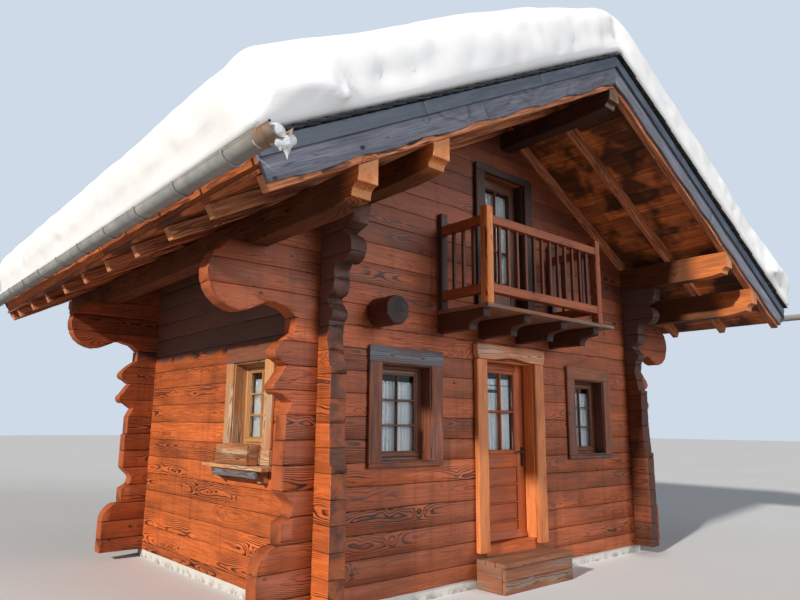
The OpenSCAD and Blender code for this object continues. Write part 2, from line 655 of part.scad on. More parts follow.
// Balcony on beams that run through the gable to the back wall
module beam_side() {
    r = 0.45 * beam_h;
    polygon(concat([[house_d - wall_t, beam_foot + beam_h], [house_d - wall_t, beam_foot]],
                   [[-balcony_out + 300, beam_foot]],
                   arc([-balcony_out + 190, beam_foot + 20], r * 0.7, -30, 80, 4),
                   [[-balcony_out + 60, beam_foot + 0.55 * beam_h],
                    [-balcony_out + 60, beam_foot + beam_h]]));
}
module floor_beams() color("saddlebrown") at_front() {
    for (i = [0 : beams - 1]) lengthwise(beam_x(i) - beam_w / 2, beam_w) beam_side();
    octagonal_joist();
}
module octagonal_joist() {
    c = 0.29 * joist_w;
    w = joist_w / 2;
    upright(-joist_out, joist_out) translate([joist_x, beam_foot + w - 20])
        polygon([[w, c - w], [w, w - c], [w - c, w], [c - w, w],
                 [-w, w - c], [-w, c - w], [c - w, -w], [w - c, -w]]);
}
module balcony_floor() color("peru") at_front() {
    box(balcony_left, balcony_right + deck_over, -balcony_out, 0, balcony_top - deck_t, balcony_top);
}
wall_post_t = 60;
post_over = 90;
wall_post_over = 150;
module balcony_posts() color("peru") at_front() for (x = [balcony_left, balcony_right - stile_w]) {
    box(x, x + stile_w, -balcony_out, -balcony_out + stile_w, balcony_top, balcony_top + rail_up + post_over);
    box(x, x + stile_w, -wall_post_t, 0, balcony_top, balcony_top + rail_up + wall_post_over);
}
module balcony_rails() color("peru") at_front() for (z = [low_rail_up, rail_up])
    translate([0, 0, balcony_top + z - rail_w]) {
        y0 = -balcony_out + (stile_w - rail_w) / 2;
        box(balcony_left + stile_w, balcony_right - stile_w, y0, y0 + rail_w, 0, rail_w);
        for (x = [balcony_left, balcony_right - stile_w]) translate([x + (stile_w - rail_w) / 2, 0, 0])
            box(0, rail_w, -balcony_out + stile_w, -wall_post_t, 0, rail_w);
    }
module baluster() box(-baluster_w / 2, baluster_w / 2, -baluster_w / 2, baluster_w / 2,
                      balcony_top + low_rail_up, balcony_top + rail_up - rail_w);
module balcony_balusters() color("peru") at_front() {
    first = balcony_left + stile_w;
    step = (balcony_right - balcony_left - 2 * stile_w) / (front_balusters + 1);
    for (i = [1 : front_balusters]) translate([first + i * step, -balcony_out + stile_w / 2, 0]) baluster();
    depth = (balcony_out - stile_w - wall_post_t) / (side_balusters + 1);
    for (x = [balcony_left + stile_w / 2, balcony_right - stile_w / 2], i = [1 : side_balusters])
        translate([x, -wall_post_t - i * depth, 0]) baluster();
}
loft_frame_w = 150;
loft_frame_top = 90;
loft_frame_out = 50;
loft_door_in = 110;
loft_stile = 120;
loft_light_w = loft_door_w - 2 * loft_stile;
loft_light_low = 500;
loft_light_high = loft_door_h - loft_stile;
loft_left = loft_door_x - loft_door_w / 2;
loft_right = loft_door_x + loft_door_w / 2;
module balcony_door_frame() color("saddlebrown") at_front() difference() {
    box(loft_left - loft_frame_w, loft_right + loft_frame_w, -loft_frame_out, 0,
        balcony_top, balcony_top + loft_door_h + loft_frame_top);
    box(loft_left, loft_right, -loft_frame_out - 1, 1, balcony_top - 1, balcony_top + loft_door_h);
}
module balcony_door() color("sienna") at_front()
    translate([loft_door_x, loft_door_in, balcony_top]) difference() {
        box(-loft_door_w / 2, loft_door_w / 2, 0, leaf_t, 0, loft_door_h);
        box(-loft_light_w / 2, loft_light_w / 2, -1, leaf_t + 1, loft_light_low, loft_light_high);
    }

plinth();
ground_floor();
upper_floor();
front_wall_left();
front_wall_right();
door_threshold();
front_wall_over_door();
front_gable();
left_wall();
right_wall();
back_wall();
back_gable();
ridge_purlin();
plate_purlins();
eave_purlins();
left_rafters();
right_rafters();
left_roof_boards();
right_roof_boards();
left_batten_layer();
right_batten_layer();
left_covering();
right_covering();
verge_boards();
fascias();
gutters();
gutter_straps();
snow_blanket();
window_casings();
window_sashes();
window_panes();
window_shelf();
door_posts();
door_header();
door_hinges();
door_leaf();
door_glass();
door_ironwork();
door_step();
floor_beams();
balcony_floor();
balcony_posts();
balcony_rails();
balcony_balusters();
balcony_door_frame();
balcony_door();
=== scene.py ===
"""Looks of a small alpine log chalet under snow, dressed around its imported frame."""
import logging
import math
import random
from collections.abc import Callable, Iterable, Sequence
from dataclasses import dataclass, replace
from enum import Enum

import bmesh
import bpy
import numpy as np
from mathutils import Matrix, Vector, noise


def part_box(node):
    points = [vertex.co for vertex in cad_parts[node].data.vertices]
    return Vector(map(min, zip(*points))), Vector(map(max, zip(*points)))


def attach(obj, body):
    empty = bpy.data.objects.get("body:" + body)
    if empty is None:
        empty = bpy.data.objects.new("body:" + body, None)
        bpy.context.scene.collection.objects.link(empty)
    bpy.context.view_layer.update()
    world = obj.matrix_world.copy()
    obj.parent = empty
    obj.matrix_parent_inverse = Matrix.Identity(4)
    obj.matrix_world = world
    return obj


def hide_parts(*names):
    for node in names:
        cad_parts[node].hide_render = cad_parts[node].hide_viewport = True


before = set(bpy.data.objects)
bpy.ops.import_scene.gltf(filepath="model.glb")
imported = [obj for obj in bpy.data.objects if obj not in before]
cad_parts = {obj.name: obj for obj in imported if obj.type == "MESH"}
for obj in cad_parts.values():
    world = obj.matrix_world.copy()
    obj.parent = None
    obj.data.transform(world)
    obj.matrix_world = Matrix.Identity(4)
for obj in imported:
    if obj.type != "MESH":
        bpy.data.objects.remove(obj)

LOG = logging.getLogger("chalet")
Colour = tuple[float, float, float]
Socket = bpy.types.NodeSocket
Value = float | Colour | Socket
Triple = tuple[float, float, float]
Span = Sequence[float]
Outline = Sequence[tuple[float, float]]
Mesh = bpy.types.Mesh
Shape = bmesh.types.BMesh
Piece = bpy.types.Object
Material = bpy.types.Material


class Body(Enum):
    """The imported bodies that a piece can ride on."""

    HOUSE = "house"
    DOOR = "entrance_door"


class Axis(Enum):
    """The direction that a wall's logs run in."""

    ACROSS = 0
    DEEP = 1


def tint(red: int, green: int, blue: int) -> Colour:
    """Turns a colour from 0 to 255 a channel into Blender's linear values.

    Args:
        red: The red channel.
        green: The green channel.
        blue: The blue channel.

    Returns:
        The same colour with linear channels.
    """
    def linear(channel: float) -> float:
        """One channel, linear."""
        return channel / 12.92 if channel <= 0.04045 else ((channel + 0.055) / 1.055) ** 2.4
    return linear(red / 255), linear(green / 255), linear(blue / 255)


def tints(codes: str) -> tuple[Colour, ...]:
    """The colours of several codes, each with two hexadecimal digits a channel."""
    return tuple(tint(*bytes.fromhex(code)) for code in codes.split())


def shaded(colour: Colour, factor: float) -> Colour:
    """A colour with its channels multiplied."""
    return tuple(factor * channel for channel in colour)


class NodeBench:
    """A node tree and the call that adds nodes to it."""

    def __init__(self, tree: bpy.types.NodeTree) -> None:
        """Takes the tree to build in."""
        self.tree = tree

    def node(self, kind: str, inputs: dict[int | str, object] | None = None,
             **settings: object) -> bpy.types.Node:
        """Adds a node.

        Args:
            kind: The node's type.
            inputs: Its inputs: sockets, numbers, colours, or None to leave one as it is.
            **settings: Values of its own properties.

        Returns:
            The new node.
        """
        node = self.tree.nodes.new(kind)
        for key, value in settings.items():
            setattr(node, key, value)
        for key, value in (inputs or {}).items():
            socket = node.inputs[key]
            if isinstance(value, bpy.types.NodeSocket):
                self.tree.links.new(value, socket)
            elif value is not None:
                bare = socket.type == "RGBA" and len(value) == 3
                socket.default_value = (*value, 1.0) if bare else value
        return node

    def math(self, operation: str, *inputs: Value, clamp: bool = False) -> Socket:
        """The result of a Math node, kept from 0 to 1 where that is asked."""
        node = self.node("ShaderNodeMath", dict(enumerate(inputs)), operation=operation, use_clamp=clamp)
        return node.outputs[0]

    def vector(self, operation: str, first: Value, second: Value) -> Socket:
        """The vector that a Vector Math node gives."""
        return self.node("ShaderNodeVectorMath", {0: first, 1: second}, operation=operation).outputs[0]


class NodeBoard(NodeBench):
    """The node tree of one material, with short calls for the nodes that the finishes use."""

    def __init__(self, name: str) -> None:
        """Starts an empty tree with an output.

        Args:
            name: The material's name.
        """
        self.material = bpy.data.materials.new(name)
        self.material.use_nodes = True
        super().__init__(self.material.node_tree)
        self.tree.nodes.clear()
        self.output = self.node("ShaderNodeOutputMaterial")

    def times(self, first: Value, second: Value) -> Socket:
        """The product of two numbers."""
        return self.math("MULTIPLY", first, second)

    def line(self, value: Value, factor: Value, offset: Value) -> Socket:
        """A number times a factor, plus an offset."""
        return self.math("MULTIPLY_ADD", value, factor, offset)

    def join(self, x: Value, y: Value, z: Value) -> Socket:
        """A vector of three numbers."""
        return self.node("ShaderNodeCombineXYZ", {0: x, 1: y, 2: z}).outputs[0]

    def split(self, vector: Socket) -> tuple[Socket, ...]:
        """The three numbers of a vector."""
        return tuple(self.node("ShaderNodeSeparateXYZ", {0: vector}).outputs)

    def noise(self, vector: Value, scale: float = 1.0, detail: float = 2.0, rough: float = 0.5,
              out: str = "Fac") -> Socket:
        """Noise at a place, about 0.5 on average."""
        inputs = {"Vector": vector, "Scale": scale, "Detail": detail, "Roughness": rough}
        return self.node("ShaderNodeTexNoise", inputs).outputs[out]

    def drawn(self, place: Socket, often: Colour, detail: float = 2.0, rough: float = 0.5) -> Socket:
        """Noise drawn out by how often it changes along each axis."""
        return self.noise(self.vector("MULTIPLY", place, often), 1.0, detail, rough)

    def ramp(self, factor: Socket, *stops: tuple[float, Colour]) -> Socket:
        """A colour ramp.

        Args:
            factor: The value that picks the colour.
            *stops: Places between 0 and 1, each with its colour.

        Returns:
            The picked colour.
        """
        node = self.node("ShaderNodeValToRGB", {0: factor})
        band = node.color_ramp.elements
        while len(band) < len(stops):
            band.new(0.5)
        for element, (place, colour) in zip(band, stops):
            element.position = place
            element.color = (*colour, 1.0)
        return node.outputs[0]

    def step(self, value: Socket, low: float, high: float, bottom: float = 0.0, top: float = 1.0) -> Socket:
        """A smooth step from bottom to top while a value goes from low to high."""
        inputs = dict(enumerate((value, low, high, bottom, top)))
        return self.node("ShaderNodeMapRange", inputs, interpolation_type="SMOOTHSTEP").outputs[0]

    def mix(self, factor: Value, first: Value, second: Value, mode: str = "MIX") -> Socket:
        """Two colours mixed by the share of the second one."""
        inputs = {0: factor, 6: first, 7: second}
        return self.node("ShaderNodeMix", inputs, data_type="RGBA", blend_type=mode).outputs[2]

    def read(self, name: str, out: str = "Fac") -> Socket:
        """An attribute of the mesh."""
        return self.node("ShaderNodeAttribute", attribute_name=name).outputs[out]

    def place(self) -> Socket:
        """The object's own coordinates, in metres."""
        return self.node("ShaderNodeTexCoord").outputs["Object"]

    def bump(self, height: Socket, depth: float, strength: float = 1.0) -> Socket:
        """A normal bent by a height, whose 1 stands for a depth in metres."""
        inputs = {"Strength": strength, "Distance": depth, "Height": height}
        return self.node("ShaderNodeBump", inputs).outputs[0]

    def finish(self, colour: Value, rough: Value, normal: Socket | None = None,
               **more: Value) -> Material:
        """Ends the tree in a Principled shader.

        Args:
            colour: The base colour.
            rough: The roughness.
            normal: The normal.
            **more: Other inputs, by name with underscores for spaces.

        Returns:
            The material.
        """
        inputs = {"Base Color": colour, "Roughness": rough, "Normal": normal}
        inputs |= {key.replace("_", " "): value for key, value in more.items()}
        shader = self.node("ShaderNodeBsdfPrincipled", inputs)
        self.tree.links.new(shader.outputs[0], self.output.inputs[0])
        return self.material


class TimberBoard(NodeBoard):
    """A timber's material while it is made, with the patterns that its stages share.

    Each pattern's three numbers say how often it changes in a metre, first along the timber.
    """

    wander = (1.5, 3.2, 3.2)
    knots = (2.6, 4.2, 4.2)
    streaks = (2.4, 46.0, 46.0)
    fibres = (26.0, 420.0, 420.0)
    patches = (1.3, 5.0, 5.0)
    figure = (0.9, 3.0, 3.0)
    worn = (1.1, 9.0, 9.0)
    cracks = (0.9, 24.0, 24.0)
    runs = (9.0, 9.0, 0.8)

    def __init__(self, timber: "Timber") -> None:
        """Lays out the rings, the knots, the fibres and the patches.

        Args:
            timber: The finish that is made.
        """
        super().__init__(timber.name)
        self.timber = timber
        tone = self.read("tone")
        self.second = self.math("FRACT", self.times(tone, 7.13))
        self.third = self.math("FRACT", self.times(tone, 37.7))
        pith = self.join(self.times(tone, 17.3), self.line(self.second, 0.12, -0.06),
                         self.line(self.third, 0.06, -0.03))
        self.grain = self.vector("ADD", self.read("grain", "Vector"), pith)
        self.spot = self.place()
        drift = self.noise(self.vector("MULTIPLY", self.grain, self.wander), out="Color")
        drift = self.vector("SUBTRACT", drift, (0.5, 0.5, 0.5))
        drift = self.vector("MULTIPLY", drift, (0.0, 0.06, timber.taper))
        cells = {"Vector": self.vector("MULTIPLY", self.grain, self.knots), "Scale": 1.0}
        self.near = self.node("ShaderNodeTexVoronoi", cells, feature="F1").outputs["Distance"]
        across = self.vector("MULTIPLY", self.vector("ADD", self.grain, drift), (0.0, 1.0, 1.0))
        radius = self.node("ShaderNodeVectorMath", {0: across}, operation="LENGTH").outputs["Value"]
        radius = self.math("ADD", radius, self.step(self.near, 0.0, 0.30, 0.026, 0.0))
        ring = self.math("FRACT", self.math("DIVIDE", radius, timber.ring))
        self.late = self.times(self.step(ring, 0.45, 0.88), self.step(ring, 0.90, 1.0, 1.0, 0.0))
        self.fibre = self.drawn(self.grain, self.fibres)
        self.patch = self.drawn(self.grain, self.patches, 3.0, 0.6)

    def stain(self) -> Socket:
        """Stains the wood, darker in its rings, streaks and fibres.

        Returns:
            The colour.
        """
        timber = self.timber
        streak = self.drawn(self.grain, self.streaks, 3.0, 0.6)
        showing = self.step(self.drawn(self.grain, self.figure, 1.0), 0.46, 0.64, 0.15, 1.7)
        showing = self.times(showing, self.line(self.times(self.third, self.third), 1.6, 0.25))
        showing = self.times(showing, timber.figure)
        share = self.line(streak, timber.streaks, 0.22 - 0.5 * timber.streaks)
        share = self.line(self.late, showing, share)
        share = self.math("ADD", share, self.line(self.fibre, 0.20, -0.10), clamp=True)
        return self.ramp(share, (0.0, timber.light), (0.42, timber.mid), (1.0, timber.dark))

    def level(self) -> Socket:
        """How bright the stain is from timber to timber, in patches and runs, with painted shade on purlins
        and painted shade and light on roof boards.

        Returns:
            A factor for the colour.
        """
        timber = self.timber
        level = self.line(self.second, timber.spread, 1.0 - timber.spread / 2)
        level = self.times(level, self.line(self.patch, 1.3, 0.35))
        if timber.runs:
            # Darker in vertical runs that cross the logs.
            vertical_runs = self.drawn(self.spot, self.runs, 3.0, 0.6)
            level = self.times(level, self.step(vertical_runs, 0.50, 0.68, 1.0, 1.0 - timber.runs))
        # Painted shade: darker along a purlin's inner length, at full brightness only near its outer ends,
        # with the shade reaching further out on the left.
        if timber.inner:
            x, y, _ = self.split(self.spot)
            out = self.math("SUBTRACT", self.math("ABSOLUTE", y), self.times(self.patch, 0.2))
            out = self.math("SUBTRACT", out, self.step(x, -0.5, 0.5, 0.30, 0.0))
            level = self.times(level, self.step(out, 2.85, 3.10, 1.0 - timber.inner, 1.0))
        # Painted shade and painted light: noise patches, darker or a little brighter.
        if timber.shade_patches:
            shade_cloud = self.noise(self.spot, 1.5, 3.0, 0.65)
            level = self.times(level, self.step(shade_cloud, 0.42, 0.56, 1.0 - timber.shade_patches, 1.15))
        return level

    def weather(self, colour: Socket) -> Socket:
        """Paints the roof's shade as a darker band high on the walls, with a toothed edge like the rafters'
        shadow, and bleaches the colour in worn patches.

        Args:
            colour: The colour so far.

        Returns:
            The weathered colour.
        """
        timber = self.timber
        if timber.roof_shade:
            # Painted shade: above a height the colour turns to the shade colour, with teeth in its edge like
            # the rafter ends' shadow.
            _, deep, up = self.split(self.spot)
            teeth = self.math("FRACT", self.line(deep, 2.3, 0.3))
            high = self.math("ADD", up, self.step(teeth, 0.42, 0.46, 0.0, 0.05))
            low, full, there = timber.shade
            colour = self.mix(self.step(high, low, full, 0.0, timber.roof_shade), colour, there)
        if timber.bleach:
            worn = self.drawn(self.grain, self.worn, 4.0, 0.65)
            worn = self.step(worn, 0.62 - 0.3 * timber.bleach, 0.74 - 0.3 * timber.bleach)
            grey = self.mix(self.late, timber.bleached, tint(52, 50, 56))
            colour = self.mix(self.times(worn, 0.85), colour, grey)
        return colour

    def wear(self, colour: Socket) -> Material:
        """Adds the sawn ends, the knots, the cracks and the joints, darkened by dirt and painted shade, and
        ends the material.

        Args:
            colour: The colour so far.

        Returns:
            The material.
        """
        timber = self.timber
        sawn = self.step(self.patch, 0.3, 0.6, timber.sawn / 3, timber.sawn)
        # Sawn ends take a fresh, paler colour or a given cut colour, which is painted shade on the walls and
        # beams and painted light on the purlins.
        fresh = timber.cut or shaded(timber.light, 1.15)
        rings = self.mix(self.late, fresh, shaded(fresh, 0.6))
        colour = self.mix(self.times(self.read("end"), sawn), colour, rings)
        core = self.step(self.near, 0.04, 0.09, timber.knots, 0.0)
        colour = self.mix(core, colour, shaded(timber.dark, 0.35))
        crack = self.math("SUBTRACT", self.drawn(self.grain, self.cracks, 1.0), 0.5)
        crack = self.step(self.math("ABSOLUTE", crack), 0.002, 0.009, 1.0, 0.0)
        crack = self.times(crack, self.step(self.patch, 0.55, 0.64))
        colour = self.mix(self.times(crack, 0.6), colour, shaded(timber.dark, 0.15))
        # Joints darkened, as dirt and as painted shade in their grooves.
        joint = self.times(self.read("seam"), self.step(self.patch, 0.32, 0.56, 0.3, 0.85))
        colour = self.mix(joint, colour, shaded(timber.dark, 0.10))
        height = self.line(self.late, 0.55, self.times(self.fibre, 0.35))
        height = self.math("SUBTRACT", height, self.times(crack, 1.4))
        rough = self.line(self.late, -0.10, timber.rough)
        return self.finish(colour, rough, self.bump(height, timber.relief))


@dataclass(frozen=True)
class Timber:
    """Stained softwood with growth rings, knots and cracks, laid along each timber's own length.

    It reads four attributes: grain is the place in the timber in metres with its length first,
    tone is a number for each timber, end is 1 on sawn ends, and seam is 1 where two logs meet.
    """

    name: str
    light: Colour
    mid: Colour
    dark: Colour
    ring: float = 0.011
    relief: float = 0.0016
    rough: float = 0.62
    figure: float = 0.34
    bleach: float = 0.0
    bleached: Colour = tint(120, 116, 118)
    spread: float = 0.34
    taper: float = 0.11
    runs: float = 0.0
    # roof_shade: the share of painted roof shade; shade: the heights and colour of its band.
    roof_shade: float = 0.0
    sawn: float = 0.7
    cut: Colour | None = None
    streaks: float = 0.70
    # shade_patches: the share of painted shade in noise patches, some a little lit.
    shade_patches: float = 0.0
    knots: float = 0.85
    # inner: the share of painted shade along a purlin's inner length.
    inner: float = 0.0
    shade: tuple[float, float, Colour] = (2.46, 2.51, tint(96, 78, 76))

    def build(self) -> Material:
        """Builds the material.

        Returns:
            The material.
        """
        wood = TimberBoard(self)
        level = wood.level()
        colour = wood.mix(1.0, wood.stain(), wood.join(level, level, level), "MULTIPLY")
        return wood.wear(wood.weather(colour))


@dataclass(frozen=True)
class Snow:
    """Wind-packed snow, soft, with faintly bluer patches of painted shade."""

    name: str = "packed_snow"

    def build(self) -> Material:
        """Builds the material.

        Returns:
            The material.
        """
        board = NodeBoard(self.name)
        place = board.place()
        cloud = board.noise(place, 1.4, 4.0, 0.55)
        grit = board.noise(place, 60.0, 3.0, 0.6)
        lump = board.noise(place, 9.0, 4.0, 0.6)
        colour = board.ramp(cloud, (0.3, (0.90, 0.925, 0.96)), (0.62, (0.95, 0.955, 0.965)))
        height = board.line(grit, 0.06, lump)
        return board.finish(colour, 0.75, board.bump(height, 0.008, 0.35), Specular_IOR_Level=0.25)


@dataclass(frozen=True)
class Slate:
    """Dark split slate with paler clouds."""

    name: str = "split_slate"

    def build(self) -> Material:
        """Builds the material.

        Returns:
            The material.
        """
        board = NodeBoard(self.name)
        place = board.vector("ADD", board.place(), board.times(board.read("tone"), 9.0))
        cloud = board.noise(place, 7.0, 5.0, 0.6)
        layer = board.drawn(place, (3.0, 3.0, 260.0), 3.0, 0.6)
        colour = board.ramp(cloud, (0.35, tint(26, 29, 32)), (0.6, tint(48, 52, 56)),
                            (0.85, tint(100, 104, 106)))
        return board.finish(colour, 0.55, board.bump(layer, 0.004))


@dataclass(frozen=True)
class FasciaPaint:
    """Slate-blue painted board with faint runs and grey specks."""

    name: str = "slate_blue_board"

    def build(self) -> Material:
        """Builds the material.

        Returns:
            The material.
        """
        board = NodeBoard(self.name)
        place = board.vector("ADD", board.read("grain", "Vector"), board.times(board.read("tone"), 5.0))
        runs = board.drawn(place, (3.0, 22.0, 22.0), 4.0, 0.6)
        speck = board.noise(place, 90.0, 2.0, 0.7)
        colour = board.ramp(runs, (0.3, tint(58, 68, 84)), (0.55, tint(78, 90, 108)),
                            (0.8, tint(104, 116, 132)))
        colour = board.mix(board.step(speck, 0.66, 0.72, 0.0, 0.5), colour, tint(120, 122, 128))
        return board.finish(colour, board.line(runs, 0.25, 0.36), board.bump(runs, 0.0012))


@dataclass(frozen=True)
class Zinc:
    """Weathered zinc sheet with runs and brown stains towards its open ends."""

    name: str = "weathered_zinc"
    end: float = 3.85

    def build(self) -> Material:
        """Builds the material.

        Returns:
            The material.
        """
        board = NodeBoard(self.name)
        place = board.place()
        _, deep, _ = board.split(place)
        runs = board.drawn(place, (30.0, 5.0, 5.0), 4.0, 0.65)
        bloom = board.noise(place, 5.0, 5.0, 0.6)
        colour = board.ramp(bloom, (0.3, tint(144, 148, 148)), (0.55, tint(170, 173, 172)),
                            (0.8, tint(196, 197, 194)))
        colour = board.mix(board.step(runs, 0.5, 0.7, 0.0, 0.5), colour, tint(150, 142, 124))
        close = board.step(board.math("ABSOLUTE", deep), self.end - 0.35, self.end + 0.15)
        stain = board.times(close, board.step(bloom, 0.35, 0.6))
        colour = board.mix(stain, colour, tint(150, 112, 80))
        return board.finish(colour, board.line(bloom, 0.3, 0.35), board.bump(runs, 0.0008))


@dataclass(frozen=True)
class Limewash:
    """Rough limewashed masonry, dirty near the ground."""

    name: str = "limewash"

    def build(self) -> Material:
        """Builds the material.

        Returns:
            The material.
        """
        board = NodeBoard(self.name)
        place = board.place()
        _, _, up = board.split(place)
        rough = board.noise(place, 9.0, 5.0, 0.6)
        dirt = board.times(board.step(up, 0.0, 0.08, 0.8, 0.1), board.step(rough, 0.4, 0.65))
        colour = board.mix(dirt, (0.72, 0.70, 0.66), tint(130, 112, 92))
        return board.finish(colour, 0.9, board.bump(rough, 0.003, 0.5))


@dataclass(frozen=True)
class Iron:
    """Forged black iron with a trace of rust."""

    name: str = "forged_iron"

    def build(self) -> Material:
        """Builds the material.

        Returns:
            The material.
        """
        board = NodeBoard(self.name)
        spots = board.noise(board.place(), 70.0, 4.0, 0.6)
        colour = board.ramp(spots, (0.4, (0.02, 0.02, 0.021)), (0.7, (0.06, 0.045, 0.035)))
        return board.finish(colour, board.line(spots, 0.4, 0.3), board.bump(spots, 0.0008), Metallic=0.7)


@dataclass(frozen=True)
class Glazing:
    """Old window glass, slightly wavy."""

    name: str = "window_glass"

    def build(self) -> Material:
        """Builds the material.

        Returns:
            The material.
        """
        board = NodeBoard(self.name)
        wave = board.noise(board.place(), 5.0, 1.0)
        tone = board.ramp(wave, (0.3, (0.86, 0.90, 0.90)), (0.7, (0.93, 0.95, 0.95)))
        return board.finish(tone, 0.015, board.bump(wave, 0.0015), Transmission_Weight=1.0, IOR=1.45)


@dataclass(frozen=True)
class Lace:
    """White cotton lace with a woven ground and a net of greyer cells."""

    name: str = "cotton_lace"

    def build(self) -> Material:
        """Builds the material.

        Returns:
            The material.
        """
        board = NodeBoard(self.name)
        across, up, _ = board.split(board.node("ShaderNodeTexCoord").outputs["UV"])
        flat = board.join(across, up, 0.0)
        thread = board.times(board.math("SINE", board.times(across, 1600.0)),
                             board.math("SINE", board.times(up, 1600.0)))
        motif = board.node("ShaderNodeTexVoronoi", {"Vector": flat, "Scale": 38.0},
                           feature="DISTANCE_TO_EDGE")
        hole = board.step(motif.outputs["Distance"], 0.02, 0.10)
        shade = board.noise(flat, 16.0, 3.0)
        colour = board.ramp(shade, (0.3, (0.90, 0.93, 0.96)), (0.7, (0.98, 0.99, 0.99)))
        colour = board.mix(board.times(hole, 0.15), colour, (0.50, 0.54, 0.58))
        height = board.math("ADD", thread, board.times(hole, -2.0))
        return board.finish(colour, 0.9, board.bump(height, 0.0004), Sheen_Weight=0.2)


@dataclass(frozen=True)
class Ice:
    """Clouded ice and refrozen snow."""

    name: str = "clouded_ice"

    def build(self) -> Material:
        """Builds the material.

        Returns:
            The material.
        """
        board = NodeBoard(self.name)
        cloud = board.noise(board.place(), 22.0, 3.0)
        colour = board.ramp(cloud, (0.35, (0.80, 0.85, 0.91)), (0.65, (0.93, 0.95, 0.97)))
        return board.finish(colour, 0.3, board.bump(cloud, 0.01), Transmission_Weight=0.25, IOR=1.31)


# Painted shade: the log stain darkens high on the gables as the roof's shade; the back wall's copy starts
# lower and darker.
LOG_STAIN = Timber("stained_log", *tints("bc6234 8e4424 381d15"), ring=0.012, figure=0.5, runs=0.2,
                   spread=0.55, roof_shade=0.4, shade=(2.8, 3.7, tint(70, 48, 44)))
BACK_SHADED_STAIN = replace(LOG_STAIN, name="back_log", roof_shade=0.82, shade=(2.52, 2.60, tint(62, 46, 43)))
# Painted light and shade: the left wall's logs as a brighter, sunlit copy of the log stain, with sawn ends
# darkened as painted shade; the right wall's copy is darker, as painted shade.
SUNLIT_STAIN = Timber("sunlit_log", *tints("d87234 a64e22 3e1e14"), ring=0.012, figure=0.5, runs=0.18,
                    spread=0.5, roof_shade=0.78, sawn=0.9, cut=tint(74, 44, 34))
SHADE_STAIN = Timber("shaded_log", *tints("844428 582c1c 261611"), ring=0.012, figure=0.5,
                     runs=0.18, spread=0.5, roof_shade=0.78, sawn=0.9, cut=tint(74, 44, 34))
# Painted light and shade: bright purlins whose sawn ends are brighter still as painted sunlight, with inner
# lengths darkened as painted shade.
PURLIN_LIT_AND_SHADED = Timber("purlin_stain", *tints("f08e46 be6632 4c2816"), ring=0.012, relief=0.003,
                      streaks=1.0, sawn=1.0, cut=tint(230, 156, 100), inner=0.78)
# Painted shade: the ridge purlin as a darker copy, its sawn end lighter as painted light.
SHADED_RIDGE_STAIN = Timber("dark_ridge", *tints("583424 3a241a 1c120e"), relief=0.003, streaks=1.0, sawn=1.0,
                     cut=tint(150, 108, 78))
RAFTER_STAIN = Timber("rough_rafter", *tints("ec9c6c a66242 32211b"), relief=0.004, rough=0.85,
                      figure=0.35, streaks=1.7, knots=0.3)
# Painted shade and light: the roof boards' undersides darker in patches, a little brighter in others.
BOARD_STAIN = Timber("stained_board", *tints("e88442 94522e 32201a"), spread=0.8, streaks=1.0, shade_patches=0.78)
EDGE_BOARD = Timber("rough_edge_board", *tints("e28248 b05a2e 602e1a"), relief=0.004, rough=0.8, spread=0.6)
JOINERY_STAIN = Timber("stained_joinery", *tints("c46430 9c4820 602a16"), ring=0.008, relief=0.0008,
                       rough=0.5)
CASING_STAIN = Timber("worn_casing", *tints("965436 623625 281a17"), bleach=0.25, streaks=1.2,
                      bleached=tint(100, 94, 96), relief=0.0018, figure=0.2)
BALCONY_STAIN = Timber("stained_balcony_timber", *tints("c46a3c 9a4c28 502414"), ring=0.008,
                       relief=0.0009, rough=0.55, bleach=0.1, bleached=tint(150, 110, 90))
BALUSTER_STAIN = Timber("dark_baluster", *tints("80442a 5a2e1c 2c1812"), ring=0.008, relief=0.0009,
                        rough=0.55)
# Painted light: a sunlit, brighter copy of the balcony stain for the left front post.
SUNLIT_POST_WOOD = Timber("bright_balcony_post", *tints("ffa85c f08846 964824"), relief=0.001)
GREY_BOARD = Timber("weathered_verge", *tints("8c8e9c 686a78 363642"), ring=0.009, relief=0.004,
                    rough=0.85, figure=0.12, taper=0.05, spread=0.24, streaks=1.2)
FLOOR_BOARD = Timber("floor_board", *tints("be9669 a0744a 6e4c2e"), rough=0.5)
DARK_BATTEN = Timber("dark_batten", *tints("3c302a 2c2420 1a1614"))
SASH_STAIN = Timber("stained_sash", *tints("86543c 623a2a 38201a"), ring=0.007, relief=0.0006, rough=0.45)
PALE_SASH = Timber("pale_sash", *tints("cea068 ac7646 704226"), ring=0.007, relief=0.0006, rough=0.5)
TOP_BOARD = Timber("worn_top_board", *tints("886a60 68524e 3a2e2e"), bleach=0.6,
                   bleached=tint(116, 122, 132), relief=0.002, rough=0.75, figure=0.15)
BROWN_TOP = Timber("brown_top_board", *tints("a06042 784632 3c261e"), bleach=0.2, relief=0.002,
                   rough=0.7, figure=0.2)
PALE_CASING = Timber("pale_casing", *tints("d69e6e b67446 744228"), bleach=0.5,
                     bleached=tint(214, 184, 152), relief=0.002, rough=0.7)
DARK_FRAME = Timber("dark_loft_frame", *tints("54392e 362822 1c1614"), relief=0.001)
POST_STAIN = Timber("bright_post", *tints("ec985a c86e3a 7a3a20"), ring=0.012, relief=0.001,
                    rough=0.5, figure=0.25)
HEADER_STAIN = Timber("carved_header", *tints("f0a478 c27854 683e2c"), bleach=0.40,
                      bleached=tint(214, 176, 150), relief=0.002, rough=0.7, figure=0.2)
DECK_STAIN = Timber("deck_board", *tints("aa7052 7e4e38 422820"), bleach=0.4,
                    bleached=tint(150, 130, 116), relief=0.002, rough=0.75, figure=0.2)
